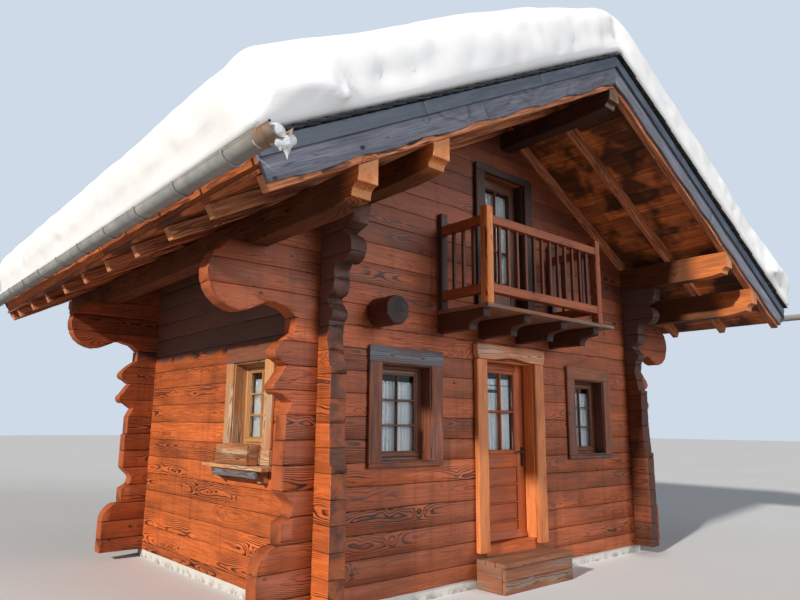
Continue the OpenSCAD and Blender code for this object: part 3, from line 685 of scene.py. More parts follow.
# Painted shade: the balcony beams and their sawn ends darkened as the shade under the balcony.
SHADED_BEAM_STAIN = Timber("balcony_beam", *tints("643422 402218 1e120e"), relief=0.002, sawn=1.0,
                    cut=tint(46, 32, 27))
PLANTER_WOOD = Timber("rustic_planter", *tints("cc8c5c 885032 3a221a"), bleach=0.35,
                      bleached=tint(222, 196, 164), relief=0.005, rough=0.9, figure=0.6)


class Palette:
    """The finishes, each built once and handed out by name."""

    def __init__(self) -> None:
        """Starts with nothing built."""
        self.built: dict[str, Material] = {}

    def get(self, finish: object) -> Material:
        """The material of a finish.

        Args:
            finish: One of the finish dataclasses.

        Returns:
            Its material, built the first time it is asked for.
        """
        if finish.name not in self.built:
            self.built[finish.name] = finish.build()
        return self.built[finish.name]


PALETTE = Palette()


def wobble(place: Vector, size: float, seed: float = 0.0) -> float:
    """Smooth noise.

    Args:
        place: Where it is read, in metres.
        size: The size of its lumps, in metres.
        seed: A number that picks another noise.

    Returns:
        A value from about -1 to 1.
    """
    x, y, z = (value / size for value in place)
    return noise.noise(Vector((x + seed, y - 1.7 * seed, z + 3.1 * seed)))


def cad_mesh(node: str) -> Shape:
    """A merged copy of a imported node's mesh, with flat faces joined.

    Args:
        node: The node's name.

    Returns:
        The copy.
    """
    copy = bmesh.new()
    copy.from_mesh(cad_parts[node].data)
    bmesh.ops.remove_doubles(copy, verts=copy.verts, dist=2e-5)
    bmesh.ops.dissolve_limit(copy, angle_limit=math.radians(0.6), verts=copy.verts, edges=copy.edges)
    bmesh.ops.connect_verts_concave(copy, faces=copy.faces)
    return copy


def solids(node: str) -> list[Shape]:
    """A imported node's separate solids.

    Args:
        node: The node's name.

    Returns:
        Each solid as a shape of its own.
    """
    whole = cad_mesh(node)
    whole.verts.ensure_lookup_table()
    seen: set[int] = set()
    found = []
    for start in whole.verts:
        if start.index in seen:
            continue
        stack, group = [start], []
        seen.add(start.index)
        while stack:
            vert = stack.pop()
            group.append(vert)
            for edge in vert.link_edges:
                other = edge.other_vert(vert)
                if other.index not in seen:
                    seen.add(other.index)
                    stack.append(other)
        part = bmesh.new()
        twin = {vert: part.verts.new(vert.co) for vert in group}
        for face in dict.fromkeys(face for vert in group for face in vert.link_faces):
            part.faces.new([twin[vert] for vert in face.verts])
        part.normal_update()
        found.append(part)
    whole.free()
    found.sort(key=lambda part: tuple(round(min(v.co[i] for v in part.verts), 3) for i in range(3)))
    return found


def slice_mesh(mesh: Shape, axis: int, places: Iterable[float]) -> None:
    """Cuts all faces with planes across an axis, so that they can bend there.

    Args:
        mesh: The mesh to cut.
        axis: 0, 1 or 2.
        places: Where the planes lie.
    """
    normal = Vector((0.0, 0.0, 0.0))
    normal[axis] = 1.0
    for place in places:
        everything = mesh.verts[:] + mesh.edges[:] + mesh.faces[:]
        bmesh.ops.bisect_plane(mesh, geom=everything, dist=1e-4, plane_co=normal * place, plane_no=normal)


def slice_evenly(mesh: Shape, axis: int, step: float) -> None:
    """Cuts all faces across an axis into even lengths.

    Args:
        mesh: The mesh to cut.
        axis: 0, 1 or 2.
        step: About how long they are.
    """
    low, high = (corner[axis] for corner in extent(mesh))
    count = max(1, round((high - low) / step))
    slice_mesh(mesh, axis, [low + (high - low) * i / count for i in range(1, count)])


def extent(mesh: Shape) -> tuple[Vector, Vector]:
    """The lowest and highest corner of a mesh."""
    points = np.array([vert.co for vert in mesh.verts])
    return Vector(points.min(0)), Vector(points.max(0))


def new_object(name: str, mesh: bpy.types.ID) -> Piece:
    """Puts a mesh, or a lamp, into the scene as an object at the origin.

    Args:
        name: The object's name.
        mesh: The mesh or lamp.

    Returns:
        The object.
    """
    piece = bpy.data.objects.new(name, mesh)
    bpy.context.scene.collection.objects.link(piece)
    return piece


def as_mesh(name: str, shape: Shape) -> Mesh:
    """Keeps a working shape as a mesh.

    Args:
        name: The mesh's name.
        shape: The shape, which is used up.

    Returns:
        The mesh.
    """
    mesh = bpy.data.meshes.new(name)
    shape.to_mesh(mesh)
    shape.free()
    return mesh


def evaluated(host: Piece) -> Mesh:
    """Keeps what an object's modifiers make of it.

    Args:
        host: The object, which is used up.

    Returns:
        The mesh.
    """
    bpy.context.view_layer.update()
    mesh = bpy.data.meshes.new_from_object(host.evaluated_get(bpy.context.evaluated_depsgraph_get()))
    host.modifiers.clear()
    bpy.data.objects.remove(host)
    return mesh


def give(mesh: Mesh, name: str, domain: str, values: Sequence) -> None:
    """Writes an attribute of vectors or of numbers.

    Args:
        mesh: The mesh.
        name: The attribute's name.
        domain: What each value belongs to.
        values: The values, in order.
    """
    table = np.array(values, float)
    vectors = table.ndim > 1
    data = mesh.attributes.new(name, "FLOAT_VECTOR" if vectors else "FLOAT", domain).data
    data.foreach_set("vector" if vectors else "value", table.ravel())


def hand_over(name: str, mesh: Mesh, finish: object, node: str = "", body: Body = Body.HOUSE,
              angle: float | None = None) -> Piece:
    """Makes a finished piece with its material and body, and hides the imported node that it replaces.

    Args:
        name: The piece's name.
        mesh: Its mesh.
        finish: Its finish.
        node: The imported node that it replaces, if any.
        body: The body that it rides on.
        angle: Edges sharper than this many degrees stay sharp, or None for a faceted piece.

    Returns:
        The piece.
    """
    if angle is not None:
        mesh.polygons.foreach_set("use_smooth", [True] * len(mesh.polygons))
        mesh.set_sharp_from_angle(angle=math.radians(angle))
    if not mesh.materials:
        mesh.materials.append(None)
    mesh.materials[0] = PALETTE.get(finish)
    piece = new_object(name, mesh)
    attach(piece, body.value)
    if node:
        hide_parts(node)
    LOG.info("%s: %d faces", name, len(mesh.polygons))
    return piece


def repaint(node: str, finish: object) -> None:
    """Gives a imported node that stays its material.

    Args:
        node: The node's name.
        finish: Its finish.
    """
    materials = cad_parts[node].data.materials
    if not materials:
        materials.append(None)
    for index in range(len(materials)):
        materials[index] = PALETTE.get(finish)


@dataclass(frozen=True)
class Cut:
    """How a timber is worked: the easing of its edges, the step of its stations, how far it wanders."""

    edge: float = 0.004
    step: float = 0.16
    uneven: float = 0.0012


BAR = Cut(0.0005, 0.4, 0.0)
ROD = Cut(0.001, 0.5, 0.0)
LINING = Cut(0.003, 0.4, 0.0)
HEWN = Cut(0.007, 0.14, 0.003)


class Timberwork:
    """Gathers timbers of one finish and makes one piece of them."""

    def __init__(self, name: str, seed: int, place: Matrix = Matrix()) -> None:
        """Starts an empty piece.

        Args:
            name: The piece's name.
            seed: What its unevenness and tones are drawn from.
            place: The matrix that puts its timbers in the house.
        """
        self.name = name
        self.place = place
        self.dice = random.Random(seed)
        self.points: list[Vector] = []
        self.faces: list[list[int]] = []
        self.grain: list[Vector] = []
        self.tone: list[float] = []
        self.ends: list[float] = []

    def take(self, points: Sequence[Vector], faces: Sequence[Sequence[int]], place: Matrix,
             grain: Sequence[Vector] | None = None) -> None:
        """Adds a solid whose length runs along x.

        Args:
            points: Its corners.
            faces: Its faces.
            place: The matrix that puts it in the house.
            grain: Where its corners lie in the uncut timber, if not where they are.
        """
        start = len(self.points)
        flip = place.determinant() < 0
        self.points.extend(place @ point for point in points)
        self.grain.extend(grain or points)
        self.tone.extend([self.dice.random()] * len(points))
        for face in faces:
            loop = [start + index for index in face]
            self.faces.append(loop[::-1] if flip else loop)
            facing = normal([points[index] for index in face])
            self.ends.append(1.0 if abs(facing.x) > 0.75 else 0.0)

    def sweep(self, outline: Outline | Callable[[float], Outline], length: float,
              spot: Sequence[float] = (0.0, 0.0, 0.0), turn: Matrix = Matrix(), cut: Cut = Cut(),
              bend: Callable[[Vector], Vector] | None = None) -> None:
        """Adds a timber with an outline across, eased at both ends and slightly uneven.

        Args:
            outline: Its section as y and z, anticlockwise seen from +x, or a function of x that gives it.
            length: Its length.
            spot: Where it starts.
            turn: How it is turned there, from along x.
            cut: How it is worked.
            bend: What moves each finished point, in the timber's own frame.
        """
        count = max(2, round(length / cut.step) + 1)
        reach = length - 2 * cut.edge
        inner = [(cut.edge + reach * i / (count - 1), 0.0) for i in range(count)]
        stations = [(0.0, cut.edge), *inner, (length, cut.edge)]
        seed = self.dice.random() * 50.0
        points = []
        for x, inset in stations:
            section = outline(x) if callable(outline) else outline
            sides = len(section)
            mid = [sum(values) / sides for values in zip(*section)]
            widest = max(math.hypot(y - mid[0], z - mid[1]) for y, z in section)
            scale = 1.0 - inset / widest
            for y, z in section:
                place = Vector((x, mid[0] + (y - mid[0]) * scale, mid[1] + (z - mid[1]) * scale))
                sway = Vector((0.0, wobble(place, 0.35, seed), wobble(place, 0.35, seed + 9.0)))
                points.append(place + sway * cut.uneven)
        last = len(stations) - 1
        faces = []
        for low in range(0, last * sides, sides):
            for j in range(sides):
                k = (j + 1) % sides
                faces.append([low + j, low + k, low + sides + k, low + sides + j])
        faces.append(list(range(sides))[::-1])
        faces.append([last * sides + j for j in range(sides)])
        shaped = [bend(point) for point in points] if bend else points
        self.take(shaped, faces, self.place @ Matrix.Translation(spot) @ turn, points)

    def board(self, x: Span, y: Span, z: Span, along: int, cut: Cut = Cut()) -> None:
        """Adds a squared board.

        Args:
            x: Its lowest and highest x.
            y: Its lowest and highest y.
            z: Its lowest and highest z.
            along: The axis that its grain follows.
            cut: How it is worked.
        """
        low, high = zip(x, y, z)
        size = [high[i] - low[i] for i in range(3)]
        second, third = (along + 1) % 3, (along + 2) % 3
        turn = Matrix.Identity(4)
        for row in range(3):
            for column, axis in enumerate((along, second, third)):
                turn[row][column] = 1.0 if row == axis else 0.0
        start = Vector([(low[i] + high[i]) / 2 for i in range(3)])
        start[along] = low[along]
        a, b, e = size[second] / 2, size[third] / 2, min(cut.edge, 0.3 * size[second], 0.3 * size[third])
        outline = [(-a + e, -b), (a - e, -b), (a, -b + e), (a, b - e), (a - e, b), (-a + e, b), (-a, b - e),
                   (-a, -b + e)]
        self.sweep(outline, size[along], start, turn, replace(cut, edge=e))

    def carved(self, node: str, way: Callable[[Shape], Vector] | Vector, cut: Cut) -> None:
        """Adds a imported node's solids with eased edges and uneven faces.

        Args:
            node: The node's name.
            way: The way that the timbers run, or a function that says it for one solid.
            cut: How they are worked.
        """
        for part in solids(node):
            low, high = extent(part)
            turn = (way(part) if callable(way) else way).to_track_quat("X", "Z").to_matrix().to_4x4()
            place = Matrix.Translation((low + high) / 2) @ turn
            bmesh.ops.transform(part, matrix=place.inverted(), verts=part.verts)
            sharp = [e for e in part.edges if e.is_manifold and e.calc_face_angle(0.0) > math.radians(40)]
            bmesh.ops.bevel(part, geom=sharp, offset=cut.edge, offset_type="OFFSET", segments=1, profile=0.7,
                            affect="EDGES", clamp_overlap=True)
            slice_evenly(part, 0, cut.step)
            seed = self.dice.random() * 50.0
            part.normal_update()
            points = []
            for vert in part.verts:
                push = abs(wobble(Vector((vert.co.x * 0.4, vert.co.y, vert.co.z)), 0.12, seed))
                points.append(vert.co - vert.normal * push * cut.uneven)
            part.verts.index_update()
            self.take(points, [[v.index for v in face.verts] for face in part.faces], place)
            part.free()

    def mesh(self, marked: bool = False) -> Mesh:
        """The gathered timbers as a mesh with their grain.

        Args:
            marked: Whether tones and sawn ends are written too.

        Returns:
            The mesh.
        """
        mesh = bpy.data.meshes.new(self.name)
        mesh.from_pydata(self.points, [], self.faces)
        give(mesh, "grain", "POINT", self.grain)
        if marked:
            give(mesh, "tone", "POINT", self.tone)
            give(mesh, "end", "FACE", self.ends)
        return mesh

    def piece(self, finish: object, node: str = "", slot: str = "joinery_wood", body: Body = Body.HOUSE,
              angle: float = 30.0) -> Piece:
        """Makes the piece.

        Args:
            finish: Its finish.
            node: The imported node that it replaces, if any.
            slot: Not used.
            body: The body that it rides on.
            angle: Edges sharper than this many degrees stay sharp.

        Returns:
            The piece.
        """
        return hand_over(self.name, self.mesh(marked=True), finish, node, body, angle)


def normal(points: Sequence[Vector]) -> Vector:
    """The unit normal of a face.

    Args:
        points: The face's corners, in order.

    Returns:
        The normal.
    """
    total = Vector((0.0, 0.0, 0.0))
    for first, second in zip(points, (*points[1:], points[0])):
        total += Vector(first).cross(Vector(second))
    return total.normalized()


def longest(part: Shape) -> Vector:
    """The axis that a solid is longest along.

    Args:
        part: The solid.

    Returns:
        The axis, as a unit vector.
    """
    low, high = extent(part)
    size = high - low
    axis = max(range(3), key=lambda i: size[i])
    return Vector([1.0 if i == axis else 0.0 for i in range(3)])


@dataclass
class LogWall:
    """One packed wall, as a stack of hewn logs with wavy joints and worn, carved ends."""

    node: str
    axis: Axis
    base: float
    course: float = 0.212
    step: float = 0.11
    groove: float = 0.007
    joint: float = 0.003
    worn: float = 0.007
    crown: float = 0.0035
    hew: float = 0.005
    drift: float = 0.006

    def build(self) -> Piece:
        """Builds the wall.

        Returns:
            The piece.
        """
        mesh = cad_mesh(self.node)
        bmesh.ops.triangulate(mesh, faces=mesh.faces[:])
        self.cut(mesh)
        closeness = self.shape(mesh)
        data = as_mesh(self.node + "_logs", mesh)
        self.mark(data, closeness)
        # Painted light and shade: the left wall takes the sunlit copy, the right and back walls copies with
        # painted shade.
        usual = LOG_STAIN if self.axis is Axis.ACROSS else SUNLIT_STAIN
        stain = {"right_wall": SHADE_STAIN, "back_wall": BACK_SHADED_STAIN}.get(self.node, usual)
        return hand_over(data.name, data, stain, self.node, angle=28.0)

    def cut(self, mesh: Shape) -> None:
        """Cuts the faces along, across and through the wall.

        Args:
            mesh: The wall's shape, which is changed.
        """
        low, high = extent(mesh)
        through = 1 - self.axis.value
        slice_evenly(mesh, self.axis.value, self.step)
        slice_mesh(mesh, through, [low[through] + self.worn, high[through] - self.worn])
        levels = []
        for index in range(-4, 24):
            seam = self.base + index * self.course
            levels += [seam - self.groove, seam, seam + self.groove]
            levels += [seam + share * self.course for share in (0.2, 0.5, 0.8)]
        slice_mesh(mesh, 2, [z for z in levels if low.z + 0.001 < z < high.z - 0.001])

    def shape(self, mesh: Shape) -> np.ndarray:
        """Moves the corners of the cut faces.

        Args:
            mesh: The cut wall.

        Returns:
            How close each corner is to a joint, from 0 to 1.
        """
        mesh.normal_update()
        mesh.verts.index_update()
        through = 1 - self.axis.value
        closeness = np.zeros(len(mesh.verts))
        moves = []
        for vert in mesh.verts:
            share = (vert.co.z - self.base) / self.course
            off = (share - round(share)) * self.course
            closeness[vert.index] = max(0.0, 1.0 - abs(off) / self.groove)
            ends = [face.normal for face in vert.link_faces if abs(face.normal[through]) < 0.3]
            sides = [face.normal for face in vert.link_faces if abs(face.normal[through]) > 0.6]
            move = Vector((0.0, 0.0, 0.0))
            if ends:
                out = sum(ends, Vector()).normalized()
                if sides:
                    move -= out * self.worn
                if abs(off) < 0.001:
                    move -= out * self.groove * 0.8
                move -= out * 0.004 * abs(wobble(vert.co, 0.09, 4.0))
            if sides:
                inward = -1.0 if sides[0][through] > 0 else 1.0
                swell = (2.0 * abs(off) / self.course) ** 2
                rough = abs(wobble(Vector((vert.co.x, vert.co.y, vert.co.z * 3.0)), 0.4, 2.0))
                move[through] += inward * (self.crown * (1.0 - swell) + self.hew * rough)
            lower = math.floor(share)
            blend = share - lower
            spot = vert.co[self.axis.value]
            waves = [wobble(Vector((spot, k * 5.3, 0.0)), 0.7, 1.0) for k in (lower, lower + 1)]
            move.z += self.drift * ((1.0 - blend) * waves[0] + blend * waves[1])
            if abs(abs(off) - self.groove) < 0.001:
                move.z -= math.copysign(self.groove - self.joint, off)
            moves.append(move)
        for vert, move in zip(mesh.verts, moves):
            vert.co += move
        return closeness

    def mark(self, data: Mesh, closeness: np.ndarray) -> None:
        """Writes each log's grain and tone, and the joints' closeness.

        Args:
            data: The wall's mesh.
            closeness: The joints' closeness at each corner.
        """
        def column(items: bpy.types.bpy_prop_collection, field: str, width: int = 3) -> np.ndarray:
            """One property of many items, as a table.

            Args:
                items: The items.
                field: The property.
                width: How many numbers it holds.

            Returns:
                A row for each item, or a plain list for single numbers.
            """
            table = np.empty(width * len(items), float if width > 1 else int)
            items.foreach_get(field, table)
            return table.reshape(-1, width) if width > 1 else table

        points = column(data.vertices, "co")
        log = np.floor((column(data.polygons, "center")[:, 2] - self.base) / self.course)
        log = np.repeat(log, column(data.polygons, "loop_total", 1))
        along, through = self.axis.value, 1 - self.axis.value
        spots = points[column(data.loops, "vertex_index", 1)]
        middle = (points[:, through].min() + points[:, through].max()) / 2
        grain = np.stack([spots[:, along], spots[:, 2] - self.base - (log + 0.5) * self.course,
                          spots[:, through] - middle], axis=1)
        side = sum(ord(letter) for letter in self.node)
        tone = np.modf(np.abs(np.sin(log * 12.9898 + side * 0.37) * 43.7585))[0]
        end = np.abs(column(data.polygons, "normal")[:, through]) < 0.3
        give(data, "seam", "POINT", closeness)
        give(data, "grain", "CORNER", grain)
        give(data, "tone", "CORNER", tone)
        give(data, "end", "FACE", end)


class Walls:
    """All walls of logs, with the threshold, the floors and the plinth."""

    across = ("front_wall_left", "front_wall_right", "front_wall_over_door", "front_gable", "back_wall",
              "back_gable")
    deep = ("left_wall", "right_wall")

    def build(self) -> None:
        """Builds and dresses them."""
        gable_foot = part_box("front_gable")[0].z
        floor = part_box("ground_floor")[1].z
        for node in self.across:
            LogWall(node, Axis.ACROSS, gable_foot).build()
        for node in self.deep:
            LogWall(node, Axis.DEEP, floor - 0.004).build()
        sill = Timberwork("threshold_timber", 11)
        sill.carved("door_threshold", longest, Cut(0.006, 0.14, 0.002))
        sill.piece(JOINERY_STAIN, "door_threshold")
        for node in ("ground_floor", "upper_floor"):
            self.floor(node)
        repaint("plinth", Limewash())

    def floor(self, node: str) -> None:
        """Lays a floor's boards over the depth of the house.

        Args:
            node: The floor's node.
        """
        low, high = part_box(node)
        boards = 28
        width = (high.x - low.x) / boards
        laid = Timberwork(node + "_boards", 12)
        for index in range(boards):
            x = low.x + index * width
            laid.board((x + 0.001, x + width - 0.001), (low.y, high.y), (low.z, high.z), 1, Cut(0.002, 1.2))
        laid.piece(FLOOR_BOARD, node, "floor_boards")


@dataclass
class Studio:
    """Camera, lamps, world and the pale floor, in metres and radians."""

    eye: Triple = (-6.0041, -6.8928, 1.6627)
    yaw: float = 0.7184
    pitch: float = 0.1893
    roll: float = 0.0078
    lens: float = 29.411
    sky: Colour = (0.86, 0.92, 1.0)
    sky_light: float = 0.15
    backdrop: Colour = tint(206, 218, 232)
    bounce: Colour = (0.36, 0.35, 0.34)
    reach: float = 90.0

    def build(self) -> None:
        """Builds the studio."""
        scene = bpy.context.scene
        scene.view_settings.view_transform = "Standard"
        camera = bpy.data.objects.new("camera", bpy.data.cameras.new("camera"))
        camera.data.lens = self.lens
        camera.data.sensor_width = 36.0
        camera.location = self.eye
        camera.rotation_mode = "QUATERNION"
        turn = Matrix.Rotation(-self.yaw, 3, "Z") @ Matrix.Rotation(math.pi / 2 + self.pitch, 3, "X")
        camera.rotation_quaternion = (turn @ Matrix.Rotation(self.roll, 3, "Z")).to_quaternion()
        scene.collection.objects.link(camera)
        scene.camera = camera
        self.lamp("key", (-0.887, -0.221, 0.407), 3.6, 2.5, (1.0, 0.93, 0.84))
        self.lamp("fill", (0.34, -0.85, 0.26), 1.6, 36.0, (0.95, 0.97, 1.0))
        self.world()
        self.floor()

    def lamp(self, name: str, toward: Triple, power: float, width: float, colour: Colour) -> None:
        """Hangs a soft far lamp.

        Args:
            name: Its name.
            toward: The way to it from the house.
            power: Its strength.
            width: How wide it looks, in degrees.
            colour: Its colour.
        """
        light = bpy.data.lights.new(name, "SUN")
        light.energy = power
        light.angle = math.radians(width)
        light.color = colour
        lamp = new_object(name, light)
        lamp.rotation_mode = "QUATERNION"
        lamp.rotation_quaternion = Vector(toward).to_track_quat("Z", "Y")

    def world(self) -> None:
        """Makes a pale world that lights softly and shows as a light backdrop."""
        world = bpy.data.worlds.new("studio")
        bpy.context.scene.world = world
        world.use_nodes = True
        world.node_tree.nodes.clear()
        bench = NodeBench(world.node_tree)
        rays = bench.node("ShaderNodeLightPath").outputs
        seen = bench.node("ShaderNodeMath", {0: rays["Is Camera Ray"], 1: rays["Is Transmission Ray"]},
                          operation="MAXIMUM").outputs[0]
        lit = bench.node("ShaderNodeBackground", {"Color": self.sky, "Strength": self.sky_light}).outputs[0]
        shown = bench.node("ShaderNodeBackground", {"Color": self.backdrop, "Strength": 1.0}).outputs[0]
        mixed = bench.node("ShaderNodeMixShader", {0: seen, 1: lit, 2: shown}).outputs[0]
        bench.node("ShaderNodeOutputWorld", {0: mixed})

    def floor(self) -> None:
        """Lays a large pale floor that is darker to all but the camera."""
        mesh = bpy.data.meshes.new("studio_floor")
        corners = [(x * self.reach, y * self.reach, 0) for x, y in ((-1, -1), (1, -1), (1, 1), (-1, 1))]
        mesh.from_pydata(corners, [], [(0, 1, 2, 3)])
        floor = new_object("studio_floor", mesh)
        board = NodeBoard("studio_floor")
        cloud = board.noise(board.place(), 0.4, 2.0)
        colour = board.ramp(cloud, (0.3, (0.76, 0.79, 0.82)), (0.7, (0.80, 0.82, 0.85)))
        seen = board.node("ShaderNodeLightPath").outputs["Is Camera Ray"]
        floor.data.materials.append(board.finish(board.mix(seen, self.bounce, colour), 0.85))


class Wall(Enum):
    """The four walls, each with its own frame: x to the right, y inwards from its outer face."""

    FRONT = "front"
    BACK = "back"
    LEFT = "left"
    RIGHT = "right"

    def place(self) -> Matrix:
        """The matrix that puts the wall's own frame in the house.

        Returns:
            The matrix.
        """
        turn = {Wall.FRONT: 0.0, Wall.BACK: math.pi, Wall.LEFT: -math.pi / 2, Wall.RIGHT: math.pi / 2}[self]
        half = HOUSE.half_d if self in (Wall.FRONT, Wall.BACK) else HOUSE.half_w
        return Matrix.Rotation(turn, 4, "Z") @ Matrix.Translation((0.0, -half, 0.0))


@dataclass(frozen=True)
class House:
    """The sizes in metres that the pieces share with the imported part."""

    half_w: float = 2.71
    half_d: float = 2.005
    floor: float = 0.41
    ridge: float = 5.259
    pitch: float = math.radians(28.15)
    eave_x: float = 4.11
    roof_half: float = 3.505
    outer_half: float = 3.615
    rafter_h: float = 0.12
    boards: float = 0.15
    stack: float = 0.31
    cover: float = 0.345

    @property
    def fall(self) -> float:
        """Length of a slope at the rafters' feet."""
        return self.eave_x / math.cos(self.pitch)

    def slope(self, side: int, down: bool) -> Matrix:
        """A roof slope's frame at the ridge, with z off the rafters' undersides.

        Args:
            side: -1 for the left slope, 1 for the right one.
            down: Whether x runs down the slope, and not along the ridge.

        Returns:
            The matrix that puts the frame in the house.
        """
        sin, cos = math.sin(self.pitch), math.cos(self.pitch)
        fall, up = Vector((side * cos, 0.0, -sin)), Vector((side * sin, 0.0, cos))
        ahead = Vector((0.0, float(side), 0.0))
        columns = (fall, ahead, up) if down else (-ahead, fall, up)
        frame_of_slope = Matrix.Identity(4)
        for column, axis in enumerate(columns):
            for row in range(3):
                frame_of_slope[row][column] = axis[row]
        frame_of_slope.translation = Vector((0.0, 0.0, self.ridge))
        return frame_of_slope


HOUSE = House()


class Tree(NodeBench):
    """A Geometry Nodes tree with named inputs."""

    def __init__(self, name: str, inputs: dict[str, str]) -> None:
        """Starts a tree.

        Args:
            name: The tree's name.
            inputs: The socket type of each named input.
        """
        super().__init__(bpy.data.node_groups.new(name, "GeometryNodeTree"))
        sockets = self.tree.interface
        for label, kind in inputs.items():
            sockets.new_socket(label, in_out="INPUT", socket_type="NodeSocket" + kind)
        sockets.new_socket("Geometry", in_out="OUTPUT", socket_type="NodeSocketGeometry")
        self.given = self.node("NodeGroupInput").outputs

    def scaled(self, vector: Socket, factor: object) -> Socket:
        """A vector times a number."""
        return self.node("ShaderNodeVectorMath", {0: vector, 3: factor}, operation="SCALE").outputs[0]

    def end(self, geometry: Socket) -> bpy.types.NodeTree:
        """Ends the tree with its finish.

        Args:
            geometry: What it has made.

        Returns:
            The tree.
        """
        real = self.node("GeometryNodeRealizeInstances", {0: geometry}).outputs[0]
        done = self.node("GeometryNodeSetMaterial", {0: real, "Material": self.given["Finish"]})
        self.node("NodeGroupOutput", {0: done.outputs[0]})
        return self.tree


def row_tree() -> bpy.types.NodeTree:
    """Makes a tree that repeats a template in rows, with a tone for each copy.

    Returns:
        The tree.
    """
    tree = Tree("repeat_in_rows", {
        "Template": "Object", "Count": "Int", "In Row": "Int", "Step": "Vector", "Row Step": "Vector",
        "Jitter": "Vector", "Turn": "Vector", "Seed": "Int", "Finish": "Material"})
    given = tree.given
    index = tree.node("GeometryNodeInputIndex").outputs[0]
    column = tree.math("MODULO", index, given["In Row"])
    row = tree.math("FLOOR", tree.math("DIVIDE", index, given["In Row"]))
    spot = tree.vector("ADD", tree.scaled(given["Step"], column), tree.scaled(given["Row Step"], row))

    def spread(label: str, extra: int) -> Socket:
        """A random vector between minus and plus one of the inputs.

        Args:
            label: The input's name.
            extra: What is added to the seed.

        Returns:
            The vector.
        """
        seed = tree.math("ADD", given["Seed"], extra)
        inputs = {0: tree.scaled(given[label], -1.0), 1: given[label], 8: seed}
        return tree.node("FunctionNodeRandomValue", inputs, data_type="FLOAT_VECTOR").outputs[0]

    place = tree.vector("ADD", spot, spread("Jitter", 0))
    points = tree.node("GeometryNodePoints", {"Count": given["Count"], "Position": place})
    template = tree.node("GeometryNodeObjectInfo", {"Object": given["Template"]})
    copies = tree.node("GeometryNodeInstanceOnPoints", {
        "Points": points.outputs[0], "Instance": template.outputs["Geometry"], "Rotation": spread("Turn", 1)})
    tone = tree.node("FunctionNodeRandomValue", {8: given["Seed"]}, data_type="FLOAT").outputs[1]
    named = tree.node("GeometryNodeStoreNamedAttribute", {
        "Geometry": copies.outputs[0], "Name": "tone", "Value": tone}, data_type="FLOAT", domain="INSTANCE")
    return tree.end(named.outputs[0])


def path_tree() -> bpy.types.NodeTree:
    """Makes a tree that sweeps a closed outline along a line that waves a little.

    Returns:
        The tree.
    """
    tree = Tree("sweep_along_line", {"Outline": "Object", "Start": "Vector", "End": "Vector",
                                     "Stations": "Int", "Waver": "Float", "Finish": "Material"})
    given = tree.given
    line = tree.node("GeometryNodeCurvePrimitiveLine", {"Start": given["Start"], "End": given["End"]})
    even = tree.node("GeometryNodeResampleCurve", {"Curve": line.outputs[0], "Count": given["Stations"]})
    place = tree.node("GeometryNodeInputPosition").outputs[0]
    wave = tree.node("ShaderNodeTexNoise", {"Vector": place, "Scale": 0.9, "Detail": 1.0}).outputs["Color"]
    sway = tree.scaled(tree.vector("ADD", wave, (-0.5, -0.5, -0.5)), given["Waver"])
    bent = tree.node("GeometryNodeSetPosition", {"Geometry": even.outputs[0], "Offset": sway})
    outline = tree.node("GeometryNodeObjectInfo", {"Object": given["Outline"]}).outputs["Geometry"]
    loop = tree.node("GeometryNodeMeshToCurve", {"Mesh": outline})
    tube = tree.node("GeometryNodeCurveToMesh", {
        "Curve": bent.outputs[0], "Profile Curve": loop.outputs[0], "Fill Caps": True})
    return tree.end(tube.outputs[0])


def grow(tree: bpy.types.NodeTree, name: str, finish: object, inputs: dict[str, object]) -> Mesh:
    """Runs a tree and keeps its result as a plain mesh.

    Args:
        tree: The tree.
        name: The mesh's name.
        finish: The finish that the tree sets.
        inputs: Values for its other inputs. One that is left out stays at nothing.

    Returns:
        The mesh.
    """
    inputs = inputs | {"Finish": PALETTE.get(finish)}
    host = new_object(name + "_host", bpy.data.meshes.new(name + "_seed"))
    helpers = [value for value in inputs.values() if isinstance(value, Piece)]
    modifier = host.modifiers.new(name, "NODES")
    modifier.node_group = tree
    for item in tree.interface.items_tree:
        if item.name in inputs:
            modifier[item.identifier] = inputs[item.name]
    mesh = evaluated(host)
    mesh.name = name
    for helper in helpers:
        bpy.data.objects.remove(helper)
    return mesh


@dataclass
class RoofBoards:
    """The sheathing boards over the rafters, seen from below."""

    width: float = 0.168
    bay: float = 0.727
    gap: float = 0.0015
    past_fall: float = 0.025

    def build(self) -> None:
        """Lays the boards of both slopes."""
        start = -HOUSE.rafter_h * math.tan(HOUSE.pitch)
        end = HOUSE.fall + self.past_fall / math.cos(HOUSE.pitch)
        rows = round((end - start) / self.width)
        width = (end - start) / rows
        for side, node in ((-1, "left_roof_boards"), (1, "right_roof_boards")):
            work = Timberwork(node + "_laid", 40 + side, HOUSE.slope(side, down=False))
            for row in range(rows):
                low = start + row * width
                for left, right in self.lengths(work.dice):
                    top = HOUSE.boards - work.dice.random() * 0.003
                    work.board((left + self.gap, right - self.gap), (low + self.gap, low + width - self.gap),
                               (HOUSE.rafter_h + 0.0005, top), 0, Cut(0.003, 0.6, 0.0))
            work.piece(BOARD_STAIN, node, "roof_timber")

    def lengths(self, dice: random.Random) -> list[Span]:
        """Splits one row into boards that meet on rafters.

        Args:
            dice: What the lengths are drawn from.

        Returns:
            The start and end of each board.
        """
        ends = [-HOUSE.roof_half]
        while ends[-1] < HOUSE.roof_half - 0.1:
            ends.append(min(HOUSE.roof_half, ends[-1] + self.bay * dice.randint(2, 5)))
        return list(zip(ends, ends[1:]))


